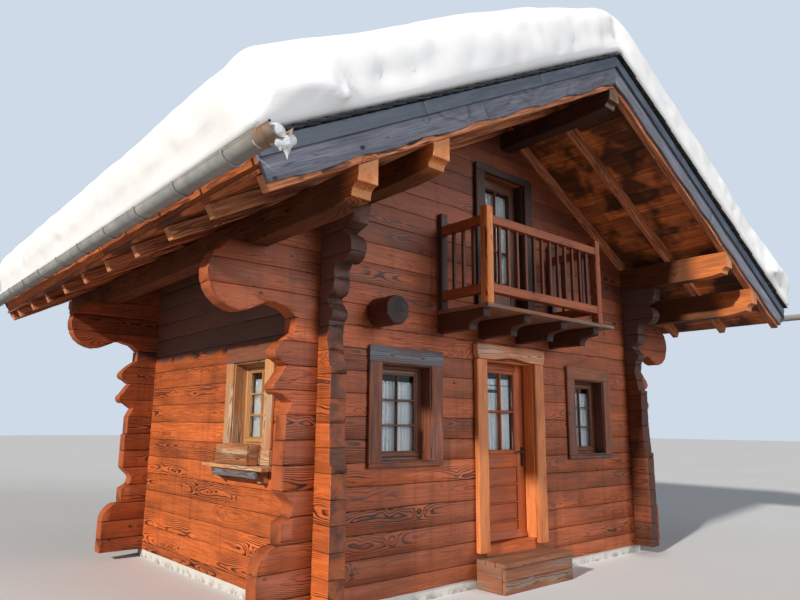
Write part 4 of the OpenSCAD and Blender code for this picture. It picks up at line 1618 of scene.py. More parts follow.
@dataclass
class EaveBoards:
    """Rough boards that close the battens' ends over the rafters' feet, behind the gutters."""

    back: float = 0.030
    thick: float = 0.026
    low: float = 0.1515
    high: float = 0.300
    gap: float = 0.002
    cut: Cut = Cut(0.006, 0.05, 0.009)

    def build(self) -> None:
        """Nails them along both eaves."""
        work = Timberwork("eave_boards_rough", 45)
        y = HOUSE.fall - self.back
        for side in (-1, 1):
            work.place = HOUSE.slope(side, down=False)
            for left, right in RoofBoards().lengths(work.dice):
                top = self.high - work.dice.uniform(0.0, 0.012)
                work.board((left + self.gap, right - self.gap), (y, y + self.thick), (self.low, top), 0,
                           self.cut)
        work.piece(EDGE_BOARD, slot="roof_timber")


@dataclass
class Battens:
    """Battens and counter battens that lift the slates off the boards."""

    set_back: float = 0.09
    spacing: float = 0.29
    wide: float = 0.07
    seam: float = 0.25
    counter_wide: float = 0.06
    counter_step: float = 0.694
    counters: int = 11

    def build(self) -> None:
        """Lays the battens of both slopes."""
        rows = row_tree()
        half, cut = HOUSE.roof_half, Cut(step=0.8)
        end = HOUSE.fall - self.set_back / math.cos(HOUSE.pitch)
        count = int(end / self.spacing)
        for side, node in ((-1, "left_batten_layer"), (1, "right_batten_layer")):
            counter = Timberwork("counter_batten", 50)
            counter.board((-half, self.counter_wide - half), (0.02, end), (HOUSE.boards, self.seam), 1, cut)
            batten = Timberwork("batten", 51)
            batten.board((-half, half), (end - self.wide, end), (self.seam, HOUSE.stack), 0, cut)
            whole = bmesh.new()
            for work, copies, step, seed in ((counter, self.counters, (self.counter_step, 0.0, 0.0), 5),
                                             (batten, count, (0.0, -self.spacing, 0.0), 9)):
                whole.from_mesh(grow(rows, node + "_rows", DARK_BATTEN, {
                    "Template": new_object(work.name, work.mesh()), "Count": copies, "In Row": copies,
                    "Step": Vector(step), "Seed": seed + side}))
            data = as_mesh(node + "_laid", whole)
            data.transform(HOUSE.slope(side, down=False))
            hand_over(node + "_laid", data, DARK_BATTEN, node)


@dataclass
class Slates:
    """Split slates in rows, three deep, with uneven edges."""

    width: float = 0.262
    height: float = 0.36
    thick: float = 0.009
    reveal: float = 0.14
    margin: float = 0.012

    def build(self) -> None:
        """Lays the slates of both slopes."""
        rows = row_tree()
        half = HOUSE.outer_half - self.margin
        down, across = int((HOUSE.fall - 0.02) / self.reveal), round(2 * half / self.width)
        width = 2 * half / across
        for side, node in ((-1, "left_covering"), (1, "right_covering")):
            mesh = grow(rows, node + "_slates", Slate(), {
                "Template": self.template(width), "Count": down * across, "In Row": across,
                "Step": Vector((width, 0.0, 0.0)), "Row Step": Vector((0.0, -self.reveal, 0.0)),
                "Jitter": Vector((0.008, 0.007, 0.0008)), "Turn": Vector((0.004, 0.004, 0.012)),
                "Seed": 70 + side})
            mesh.transform(Matrix.Translation((width / 2 - half, HOUSE.fall, 0.0)))
            mesh.transform(HOUSE.slope(side, down=False))
            hand_over(node + "_slates", mesh, Slate(), node, angle=20.0)

    def template(self, width: float) -> Piece:
        """Makes one slate with chipped edges, its foot at the origin and its head up the slope.

        Args:
            width: Its width.

        Returns:
            The slate.
        """
        mesh = bmesh.new()
        rise = (HOUSE.cover - HOUSE.stack - self.thick) / self.height
        half = width / 2 - 0.001
        rim = [(-half, 0.0), (-half / 3, 0.003), (half / 4, 0.0), (half, 0.002), (half, -self.height),
               (0.0, -self.height), (-half, -self.height)]
        low = [(x, y, HOUSE.stack + (self.height + y) * rise) for x, y in rim]
        lower = [mesh.verts.new(spot) for spot in low]
        upper = [mesh.verts.new((x * 0.985, y * 0.992 - 0.002, z + self.thick)) for x, y, z in low]
        mesh.faces.new(upper)
        mesh.faces.new(lower[::-1])
        for i in range(len(rim)):
            j = (i + 1) % len(rim)
            mesh.faces.new((lower[i], lower[j], upper[j], upper[i]))
        bmesh.ops.recalc_face_normals(mesh, faces=mesh.faces)
        return new_object("slate_template", as_mesh("slate_template", mesh))


@dataclass
class GableBoards:
    """The grey wavy verge boards and the slate-blue fascias over them."""

    verge_low: float = 0.045
    verge_high: float = 0.242
    fascia_low: float = 0.202
    thick: float = 0.030
    wave: float = 0.62
    swing: float = 0.020
    ease: float = 0.004
    mitre_reach: float = 1.2
    verge_joint: float = 2.35
    fascia_joints: Span = (1.42, 3.1)
    joint: float = 0.003

    def build(self) -> None:
        """Builds both gables' boards."""
        verge = Timberwork("verge_boards_worn", 80)
        fascia = Timberwork("fascias_painted", 81)
        for side in (-1, 1):
            verge.place = fascia.place = HOUSE.slope(side, down=True)
            for gable in (-1, 1):
                self.verge(verge, side * gable)
                self.fascia(fascia, side * gable)
        verge.piece(GREY_BOARD, "verge_boards", "weathered_wood", angle=50.0)
        fascia.piece(FasciaPaint(), "fascias", "slate_blue_sheet")

    def strip(self, work: Timberwork, sign: int, outer: float, joints: Sequence[float],
              low: Callable[[float], float], high: float, uneven: float) -> None:
        """Adds the boards of one slope, mitred at the ridge.

        Args:
            work: What gathers them.
            sign: The side of the slope's frame that the gable is on.
            outer: Distance of the outer face from the house's middle.
            joints: Where one board ends and the next one starts, down the slope.
            low: The lower edge at a place down the slope.
            high: The upper edge.
            uneven: How far the boards wander.
        """
        near, far = sorted((sign * (outer - self.thick), sign * outer))
        starts = (0.0, *(joint + self.joint for joint in joints))
        for start, end in zip(starts, (*joints, HOUSE.fall)):
            def outline(x: float) -> Outline:
                """The board's section at a place along it."""
                foot, e = low(start + x), self.ease
                return [(near + e, foot), (far - e, foot), (far, foot + e), (far, high - e), (far - e, high),
                        (near + e, high), (near, high - e), (near, foot + e)]

            def mitre(point: Vector) -> Vector:
                """Shears the board so that it is cut plumb at the ridge and square at the eave.

                Args:
                    point: A point of the board.

                Returns:
                    Where it goes.
                """
                down = start + point.x
                lean = math.tan(HOUSE.pitch) * max(0.0, 1.0 - down / self.mitre_reach)
                return Vector((down - point.z * lean, point.y, point.z))

            work.sweep(outline, end - start, cut=Cut(step=0.05, uneven=uneven), bend=mitre)

    def verge(self, work: Timberwork, sign: int) -> None:
        """Adds one slope's verge board.

        Args:
            work: What gathers it.
            sign: The side of the slope's frame that the gable is on.
        """
        seed = work.dice.random() * 40

        def low(down: float) -> float:
            """The worn, waving lower edge.

            Args:
                down: Distance down the slope.

            Returns:
                Its height.
            """
            x, spot = down * math.cos(HOUSE.pitch), Vector((down, 0.0, 0.0))
            swing = self.swing * (1.0 + math.cos(2 * math.pi * x / self.wave)) / 2
            chips = 0.006 * wobble(spot, 0.05, seed) + 0.006 * wobble(spot, 0.19, seed)
            return self.verge_low - swing + chips + 0.006

        self.strip(work, sign, HOUSE.roof_half + self.thick, (self.verge_joint,), low,
                   self.verge_high, 0.0022)

    def fascia(self, work: Timberwork, sign: int) -> None:
        """Adds one slope's fascia boards, over the verge board."""
        self.strip(work, sign, HOUSE.roof_half + 2 * self.thick, self.fascia_joints,
                   lambda down: self.fascia_low, HOUSE.stack, 0.0008)


@dataclass
class Gutters:
    """Half-round gutters with a beaded rim, falling towards the front."""

    across: float = 4.338
    rim: float = 3.286
    radius: float = 0.08
    half: float = 4.005
    lean: float = 0.07 / 8.01
    sheet: float = 0.003
    rim_in: float = 0.004
    bead: float = 0.008
    collars: tuple[float, ...] = (0.02, 0.27, 0.52, 0.77)
    collar_half: float = 0.004
    collar_swell: float = 0.0035

    def build(self) -> None:
        """Builds both gutters."""
        tree = path_tree()
        whole = bmesh.new()
        for side in (-1, 1):
            ends = [Vector((side * self.across, y, self.rim + y * self.lean))
                    for y in (-self.half, self.half)]
            spans = [(share - self.collar_half, share + self.collar_half, self.collar_swell)
                     for share in self.collars]
            for low, high, swell in ((0.0, 1.0, 0.0), *spans):
                start, end = ends[0].lerp(ends[1], low), ends[0].lerp(ends[1], high)
                whole.from_mesh(grow(tree, "gutter_span", Zinc(), {
                    "Outline": self.outline(swell, side), "Start": start, "End": end,
                    "Stations": max(2, int((high - low) * 60)), "Waver": 0.008}))
        bmesh.ops.remove_doubles(whole, verts=whole.verts, dist=1e-6)
        bmesh.ops.recalc_face_normals(whole, faces=whole.faces)
        mesh = as_mesh("gutters_zinc", whole)
        hand_over("gutters_zinc", mesh, Zinc(), "gutters", angle=40.0)
        repaint("gutter_straps", Zinc())

    def outline(self, swell: float, side: int) -> Piece:
        """The gutter's closed outline with a bead at its outer rim.

        Args:
            swell: How much wider it is, for a collar.
            side: Which side its bead is on.

        Returns:
            The outline as an object.
        """
        outer, inner = self.radius - self.rim_in + swell, self.radius - self.rim_in - self.sheet
        turns = [math.pi * i / 18 for i in range(19)]
        loop = [(outer * math.cos(a), -outer * math.sin(a)) for a in turns]
        loop += [(inner * math.cos(a), -inner * math.sin(a)) for a in reversed(turns)]
        if not swell:
            centre = (outer + inner) / 2 - self.rim_in
            ring = [(centre + self.bead * math.cos(a), self.bead * math.sin(a) - self.rim_in)
                    for a in (math.pi * (i / 5 - 1.15) for i in range(10))]
            loop = ring + loop[1:-1]
        data = bpy.data.meshes.new("gutter_outline")
        count = len(loop)
        edges = [(i, (i + 1) % count) for i in range(count)]
        data.from_pydata([(side * x, -y, 0.0) for x, y in loop], edges, [])
        return new_object("gutter_outline", data)


def remeshed(name: str, mesh: Shape, voxel: float, rounds: int) -> Mesh:
    """An even mesh over a solid, rounded at its edges.

    Args:
        name: Its name.
        mesh: The solid, which is used up.
        voxel: The size of its faces.
        rounds: How many times it is smoothed.

    Returns:
        The mesh.
    """
    host = new_object(name + "_host", as_mesh(name + "_seed", mesh))
    remesh = host.modifiers.new("voxels", "REMESH")
    remesh.mode = "VOXEL"
    remesh.voxel_size = voxel
    soften = host.modifiers.new("soften", "SMOOTH")
    soften.factor, soften.iterations = 0.5, rounds
    even = evaluated(host)
    even.name = name
    return even


def clamped(value: float) -> float:
    """A number kept between 0 and 1."""
    return min(1.0, max(0.0, value))


@dataclass
class SnowBlanket:
    """The snow on the roof, rounded and gently lumpy, flat underneath."""

    voxel: float = 0.055
    lump: float = 0.065
    dent: float = 0.036
    pit: float = 0.034
    round: float = 0.60
    crown: float = 0.07
    swell: float = 0.08
    gable_end: float = 4.0
    eave_end: float = 4.35
    deep: float = 0.5

    def build(self) -> None:
        """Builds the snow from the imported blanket."""
        blanket = cad_mesh("snow_blanket")
        bmesh.ops.triangulate(blanket, faces=blanket.faces[:])
        slice_mesh(blanket, 0, (-0.4, -0.2, 0.0, 0.2, 0.4))
        self.tilt(blanket, 1)
        snow = remeshed("snow_blanket_soft", blanket, self.voxel, 6)
        self.shape(snow)
        hand_over("snow_blanket_soft", snow, Snow(), "snow_blanket", angle=180.0)

    @staticmethod
    def tilt(mesh: Shape, way: int) -> None:
        """Lays both slopes flat, or back at their pitch, so that the even mesh follows their feet.

        Args:
            mesh: The snow.
            way: 1 to lay it flat, -1 to lay it back.
        """
        for vert in mesh.verts:
            vert.co.z += way * math.tan(HOUSE.pitch) * abs(vert.co.x)

    def shape(self, snow: Mesh) -> None:
        """Presses lumps and dents into the snow, rounds its corners and swells it at the right eave.

        Args:
            snow: The remeshed snow, with its slopes flat.
        """
        shape = bmesh.new()
        shape.from_mesh(snow)
        self.tilt(shape, -1)
        shape.normal_update()
        slopes = {side: HOUSE.slope(side, down=False).inverted() for side in (-1, 1)}
        for vert in shape.verts:
            spot = vert.co.copy()
            if vert.normal.z < -0.5:
                continue
            slope = slopes[1 if spot.x > 0 else -1]
            local = slope @ spot
            lift = clamped((local.z - HOUSE.cover) / 0.18)
            press = self.press(spot, local, abs(vert.normal.z))
            limits = (self.gable_end, self.eave_end, HOUSE.cover + self.deep)
            ends = [clamped(1.0 + (place - limit) / self.round)
                    for place, limit in zip((abs(spot.y), local.y, local.z), limits)]
            corner = min(1.0, 3.0 * min(ends[0], ends[1]))
            share = (max(ends) / max(1e-6, math.hypot(*ends)) - 1.0) * self.round * lift * corner
            vert.co = slope.inverted() @ (local + Vector((0.0, ends[1] * share, ends[2] * share)))
            vert.co.y += math.copysign(ends[0] * share, spot.y)
            vert.co -= vert.normal * press * (0.2 + 0.8 * lift)
            if spot.x > 0:
                late = clamped((local.y - 3.3) / 1.0) * clamped((local.z - 0.45) / 0.4)
                vert.co += vert.normal * self.swell * late
        shape.to_mesh(snow)
        shape.free()

    def press(self, spot: Vector, local: Vector, facing: float) -> float:
        """How far the snow is pressed in at a place.

        Args:
            spot: The place.
            local: The same place in its slope's frame.
            facing: How much the surface faces up, from 0 to 1.

        Returns:
            The depth.
        """
        broad = 0.5 + 0.5 * wobble(spot, 1.1, 3.0)
        small = 0.5 + 0.5 * wobble(spot, 0.33, 7.0)
        edge = 1.0 - min(1.0, facing)
        pits = max(0.0, wobble(spot, 0.17, 11.0)) * edge
        press = self.lump * broad * 0.7 + self.dent * small * (0.2 + edge) + self.pit * pits
        if spot.x < 0:
            press -= self.crown * math.sin(math.pi * clamped(local.y / 3.4))
        return press + self.crown * max(0.0, 1.0 - abs(spot.x) / 0.4) ** 2


@dataclass
class GutterIce:
    """Refrozen snow in the front end of the left gutter, with drips below it."""

    lumps: tuple[tuple[float, float, float, float], ...] = (
        (0.050, 0.030, -0.088, 0.042), (0.085, 0.034, -0.060, 0.034), (0.018, 0.040, -0.094, 0.028),
        (0.062, 0.030, -0.124, 0.021), (0.064, 0.030, -0.146, 0.012), (0.065, 0.030, -0.162, 0.008),
        (0.066, 0.030, -0.176, 0.0055), (0.022, 0.036, -0.122, 0.011), (0.023, 0.036, -0.138, 0.006),
        (0.0, 0.040, -0.030, 0.046), (0.020, 0.120, -0.030, 0.050), (-0.014, 0.200, -0.034, 0.046))
    voxel: float = 0.006

    def build(self) -> None:
        """Builds the ice from round lumps, each given by its middle and radius."""
        gutter = Gutters()
        end = Vector((-gutter.across, -gutter.half, gutter.rim - gutter.half * gutter.lean))
        seed = bmesh.new()
        for x, y, z, radius in self.lumps:
            bmesh.ops.create_icosphere(seed, subdivisions=3, radius=radius,
                                       matrix=Matrix.Translation(end + Vector((x, y, z))))
        for vert in seed.verts:
            vert.co += vert.normal * 0.006 * wobble(vert.co, 0.05, 2.0)
        ice = remeshed("gutter_ice", seed, self.voxel, 2)
        hand_over("gutter_ice", ice, Ice(), angle=180.0)


@dataclass
class RoofTimbers:
    """Purlins and rafters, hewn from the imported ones."""

    purlin_cut: Cut = Cut(0.012, 0.12, 0.006)
    rafter_cut: Cut = Cut(0.009, 0.09, 0.011)
    rafter_deep: float = 0.12

    def build(self) -> None:
        """Builds them."""
        along = Vector((0.0, 1.0, 0.0))
        for node, finish in (("ridge_purlin", SHADED_RIDGE_STAIN), ("plate_purlins", PURLIN_LIT_AND_SHADED),
                             ("eave_purlins", PURLIN_LIT_AND_SHADED)):
            work = Timberwork(node + "_timber", len(node))
            work.carved(node, along, self.purlin_cut)
            work.piece(finish, node, "roof_timber")
        for node in ("left_rafters", "right_rafters"):
            work = Timberwork(node + "_timber", len(node) + 1)
            work.carved(node, self.down_slope, self.rafter_cut)
            work.piece(RAFTER_STAIN, node, "roof_timber")

    def down_slope(self, part: Shape) -> Vector:
        """The way a rafter runs, found from its extent and its depth.

        Args:
            part: The rafter.

        Returns:
            The way down the slope.
        """
        low, high = extent(part)
        rise, run = high.z - low.z, high.x - low.x
        angle, deep = math.atan2(rise, run), self.rafter_deep
        for _ in range(6):
            angle = math.atan2(rise - deep * math.cos(angle), run - deep * math.sin(angle))
        side = 1.0 if high.x > 1.0 else -1.0
        return Vector((side * math.cos(angle), 0.0, -math.sin(angle)))


@dataclass(frozen=True)
class Opening:
    """One window's place in its wall's own frame."""

    name: str
    wall: Wall
    x: float
    sill: float = 1.31
    height: float = 0.95


LEFT_SIDE = Opening("left_side", Wall.LEFT, 0.805, 1.43, 0.865)
OPENINGS = (
    Opening("front_left", Wall.FRONT, -1.64), Opening("front_right", Wall.FRONT, 1.555),
    Opening("back_left", Wall.BACK, 1.64), Opening("back_right", Wall.BACK, -1.555),
    Opening("back_gable", Wall.BACK, 0.0, 3.226, 0.865), LEFT_SIDE,
    Opening("right_side", Wall.RIGHT, -0.805, 1.43, 0.865))

UPRIGHT = Matrix(((0, 1, 0, 0), (0, 0, 1, 0), (1, 0, 0, 0), (0, 0, 0, 1)))
LEVEL = Matrix.Rotation(-math.pi / 2, 4, "X")


def beside(side: int, near: float, far: float) -> list[float]:
    """A span on one side of the middle, from its lowest value to its highest."""
    return sorted((side * near, side * far))


def add_bars(work: Timberwork, wide: Triple, spot: Triple, width: float, height: float, rows: int) -> None:
    """Adds a light's glazing bars, flat inside and narrower outside: an upright one and level ones.

    Args:
        work: What gathers them.
        wide: A bar's width, its depth and the width of its outer face.
        spot: The middle of the light's foot, at the bars' own middle.
        width: The light's width.
        height: The light's height.
        rows: How many rows of panes it has.
    """
    w, d, n = (size / 2 for size in wide)
    section = [(-n, -d), (n, -d), (w, -0.3 * d), (w, d), (-w, d), (-w, -0.3 * d)]
    work.sweep(section, height, spot, UPRIGHT, BAR)
    for row in range(1, rows):
        work.sweep(section, width, (spot[0] - width / 2, spot[1], spot[2] + row * height / rows), LEVEL, BAR)


def add_rod(work: Timberwork, length: float, y: float, z: float, radius: float = 0.004) -> None:
    """Adds a curtain rod across the middle of a light.

    Args:
        work: What gathers it.
        length: Its length.
        y: How far in it is.
        z: Its height.
        radius: Its radius.
    """
    turns = [math.pi * i / 4 for i in range(8)]
    section = [(radius * math.cos(a), radius * math.sin(a)) for a in turns]
    work.sweep(section, length, (-length / 2, y, z), cut=ROD)


@dataclass
class Windows:
    """Casings, sashes with bars, curtains and the shelf with its planter."""

    width: float = 0.66
    casing_w: float = 0.16
    casing_out: float = 0.035
    front_foot: float = 0.045
    sash_in: float = 0.12
    sash_t: float = 0.05
    frame_w: float = 0.045
    sash_w: float = 0.10
    rebate: float = 0.006
    bead_in: float = 0.013
    moulding: float = 0.012
    joint: float = 0.003
    bar: Triple = (0.022, 0.038, 0.008)
    lining: float = 0.014
    casing_cut: Cut = Cut(0.006, 0.14, 0.003)
    sill_cut: Cut = Cut(0.004, 0.3, 0.001)
    frame_cut: Cut = Cut(0.004, 0.4, 0.0006)
    stile_cut: Cut = Cut(0.005, 0.4, 0.0006)
    curtain_top: float = 0.16
    curtain_in: float = 0.028

    def build(self) -> None:
        """Builds all windows."""
        sets = {True: self.start("pale_casings_made", 92, "pale_sashes_made", 94),
                False: self.start("casing_boards_made", 90, "sashes_made", 93)}
        tops, brown = Timberwork("casing_tops_made", 91), Timberwork("brown_tops_made", 97)
        rods = Timberwork("curtain_rods_made", 95)
        for opening in OPENINGS:
            side = opening.wall in (Wall.LEFT, Wall.RIGHT)
            place = opening.wall.place() @ Matrix.Translation((opening.x, 0.0, opening.sill))
            top = brown if side or "right" in opening.name else tops
            casing, sash = sets[side]
            for work in (casing, sash, top, rods):
                work.place = place
            self.casing(casing, top, opening.height, self.casing_w if side else self.front_foot)
            self.sash(sash, opening.height)
            self.curtain(rods, opening)
        for work, finish, node in (
                (sets[False][0], CASING_STAIN, "window_casings"), (tops, TOP_BOARD, "window_casings"),
                (brown, BROWN_TOP, "window_casings"), (sets[True][0], PALE_CASING, "window_casings"),
                (sets[False][1], SASH_STAIN, "window_sashes"), (sets[True][1], PALE_SASH, "window_sashes")):
            work.piece(finish, node)
        rods.piece(Iron(), slot="iron")
        repaint("window_panes", Glazing())
        self.shelf()
        self.planter()

    @staticmethod
    def start(casing: str, casing_seed: int, sash: str, sash_seed: int) -> tuple[Timberwork, Timberwork]:
        """Starts the casings and the sashes of one look."""
        return Timberwork(casing, casing_seed), Timberwork(sash, sash_seed)

    def casing(self, work: Timberwork, tops: Timberwork, height: float, foot: float) -> None:
        """Adds one window's casing boards and the lining of its reveal.

        Args:
            work: What gathers the boards.
            tops: What gathers the top boards.
            height: The opening's height.
            foot: How deep the board below it is.
        """
        half, out, lining = self.width / 2, self.casing_out, self.lining
        outer = half + self.casing_w
        for side in (-1, 1):
            work.board(beside(side, half, outer), (-out + 0.004, 0.0), (-0.001, height), 2, self.casing_cut)
            work.board(beside(side, half, half - lining), (-0.012, self.sash_in), (0.0, height), 2,
                       Cut(0.003, 0.3, 0.001))
        tops.board((-outer, outer), (-out, 0.0), (height, height + self.casing_w), 0, HEWN)
        work.board((-outer, outer), (-out, 0.0), (-foot, -0.002), 0, HEWN)
        work.board((-half, half), (-out, self.sash_in), (-0.002, lining), 0, self.sill_cut)
        work.board((-half, half), (-0.012, self.sash_in), (height - lining, height), 0, self.sill_cut)

    def sash(self, work: Timberwork, height: float) -> None:
        """Adds one window's frame, sash stiles, weather rail and bars.

        Args:
            work: What gathers them.
            height: The opening's height.
        """
        half, f, w = self.width / 2, self.frame_w, self.sash_w
        y, back = self.sash_in, self.sash_in + self.sash_t
        frame_y, rail_y, bead_y = (y, back), (y + self.rebate, back), (y + self.bead_in, back)
        inner, bead = f + self.joint, w - self.moulding
        for side in (-1, 1):
            work.board(beside(side, half, half - f), frame_y, (0.0, height), 2, self.frame_cut)
            work.board(beside(side, half - inner, half - bead), rail_y, (f, height - f), 2, self.stile_cut)
            work.board(beside(side, half - bead, half - w), bead_y, (w, height - w), 2, LINING)
        for foot, turn in ((0.0, 1), (height, -1)):
            for x, y_span, near, far, cut in (
                    (half - f, frame_y, 0.0, f, self.frame_cut),
                    (half - bead, rail_y, inner, bead, self.stile_cut),
                    (half - bead, bead_y, bead, w, Cut(0.003))):
                work.board((-x, x), y_span, sorted((foot + turn * near, foot + turn * far)), 0, cut)
        drip = [(-0.016, -0.012), (0.006, -0.016), (0.006, 0.014), (-0.004, 0.012)]
        start = -half + f + 0.005
        work.sweep(drip, -2 * start, (start, y + 0.004, f + 0.018), cut=Cut(0.002))
        middle = y + 0.012 + self.bar[1] / 2
        add_bars(work, self.bar, (0.0, middle, w), self.width - 2 * w, height - 2 * w, 3)

    def curtain(self, rods: Timberwork, opening: Opening) -> None:
        """Hangs one window's lace inside the glass.

        Args:
            rods: What gathers the rods.
            opening: The window's opening.
        """
        top, y = opening.height - self.curtain_top, self.sash_in + self.sash_t + self.curtain_in
        add_rod(rods, self.width - 0.02, y, top)
        lace = Drape(opening.name + "_curtain", self.width - 0.12, top - 0.03, 11, 0.010)
        lace.hang(rods, (0.0, y, top), Body.HOUSE)

    def shelf_place(self) -> Matrix:
        """The frame of the shelf under the left window, whose top is at its origin."""
        spot = (LEFT_SIDE.x, 0.0, LEFT_SIDE.sill - self.casing_w)
        return LEFT_SIDE.wall.place() @ Matrix.Translation(spot)

    def shelf(self) -> None:
        """Builds the shelf, its straps and its apron at the left window."""
        work = Timberwork("shelf_boards_made", 96, self.shelf_place())
        work.board((-0.62, 0.62), (-0.19, -0.098), (-0.04, -0.002), 0, Cut(0.006, 0.1, 0.003))
        work.board((-0.62, 0.62), (-0.096, 0.0), (-0.04, -0.003), 0, Cut(0.006, 0.1, 0.003))
        for x in (-0.413, 0.413):
            work.board((x - 0.03, x + 0.03), (-0.09, 0.0), (-0.16, -0.041), 2, Cut(0.006, 0.05, 0.002))
        work.piece(PALE_CASING, "window_shelf")
        apron = Timberwork("shelf_apron_made", 98, self.shelf_place())
        apron.board((-0.46, 0.46), (-0.155, -0.125), (-0.115, -0.041), 0, Cut(0.006, 0.08, 0.004))
        apron.piece(TOP_BOARD, "window_shelf")

    def planter(self) -> None:
        """Builds the planter on the shelf: two boards in front, one behind, the ends and the floor."""
        half, thick = self.width / 2, 0.026
        planter = Timberwork("planter_made", 99, self.shelf_place())
        long, ends = (-half, half), (-0.157, -0.064)
        for x, y, top, along in (
                (long, (-0.186, -0.158), (0.0, 0.108), 0), (long, (-0.180, -0.152), (0.104, 0.196), 0),
                (long, (-0.066, -0.041), (0.0, 0.200), 0), ((-half, -half + thick), ends, (0.0, 0.195), 1),
                ((half - thick, half), ends, (0.0, 0.195), 1),
                ((-half + thick, half - thick), ends, (0.0, 0.150), 0)):
            planter.board(x, y, top, along, Cut(0.014, 0.03, 0.010))
        planter.piece(PLANTER_WOOD, "window_shelf")


@dataclass
class Drape:
    """A gathered lace curtain, as one sheet in soft folds."""

    name: str
    width: float
    length: float
    folds: int
    swing: float
    rows: int = 14
    fold_columns: int = 10
    cloth: float = 0.0008

    def hang(self, rods: Timberwork, spot: Triple, body: Body) -> None:
        """Hangs the sheet from its rod.

        Args:
            rods: The rod's piece, in whose frame y runs inwards and z up.
            spot: The rod's middle in that frame.
            body: The body that it rides on.
        """
        place = rods.place @ Matrix.Translation(spot)
        dice = random.Random(self.name)
        columns = self.folds * self.fold_columns
        shift = [dice.uniform(-0.5, 0.5) for _ in range(3)]
        points, uvs, faces = [], [], []
        flat = 0.0
        for row in range(self.rows + 1):
            down = row / self.rows
            line = [self.fold(column / columns, down, shift) for column in range(columns + 1)]
            run = [0.0]
            for first, second in zip(line, line[1:]):
                run.append(run[-1] + (second - first).length)
            flat += run[-1] / (self.rows + 1)
            points += [place @ spot for spot in line]
            uvs += [(value, -self.length * down) for value in run]
        for row in range(self.rows):
            for start in range(row * (columns + 1), row * (columns + 1) + columns):
                faces.append((start, start + columns + 1, start + columns + 2, start + 1))
        mesh = bpy.data.meshes.new(self.name)
        mesh.from_pydata(points, [], faces)
        layer = mesh.uv_layers.new(name="UVMap")
        for loop in mesh.loops:
            layer.data[loop.index].uv = uvs[loop.vertex_index]
        piece = hand_over(self.name, mesh, Lace(), body=body, angle=180.0)
        thick = piece.modifiers.new("cloth", "SOLIDIFY")
        thick.thickness = self.cloth
        thick.offset = 0.0
        LOG.info("%s is cut %.3f by %.3f m", self.name, flat, self.length)

    def fold(self, u: float, down: float, shift: Sequence[float]) -> Vector:
        """Where a point of the sheet hangs.

        Args:
            u: Its share of the width.
            down: Its share of the length.
            shift: What sets this sheet's folds apart from the others'.

        Returns:
            The place under the rod's middle.
        """
        reach = self.swing * (0.75 + 0.5 * down)
        turn = 2 * math.pi * self.folds * (u + 0.012 * math.sin(2 * math.pi * (u * 1.7 + shift[0])))
        y = reach * math.sin(turn + 0.5 * down * shift[1]) + 0.003 * math.sin(turn * 0.37 + shift[2] * 6)
        return Vector((self.width * (u - 0.5), y, -self.length * down))


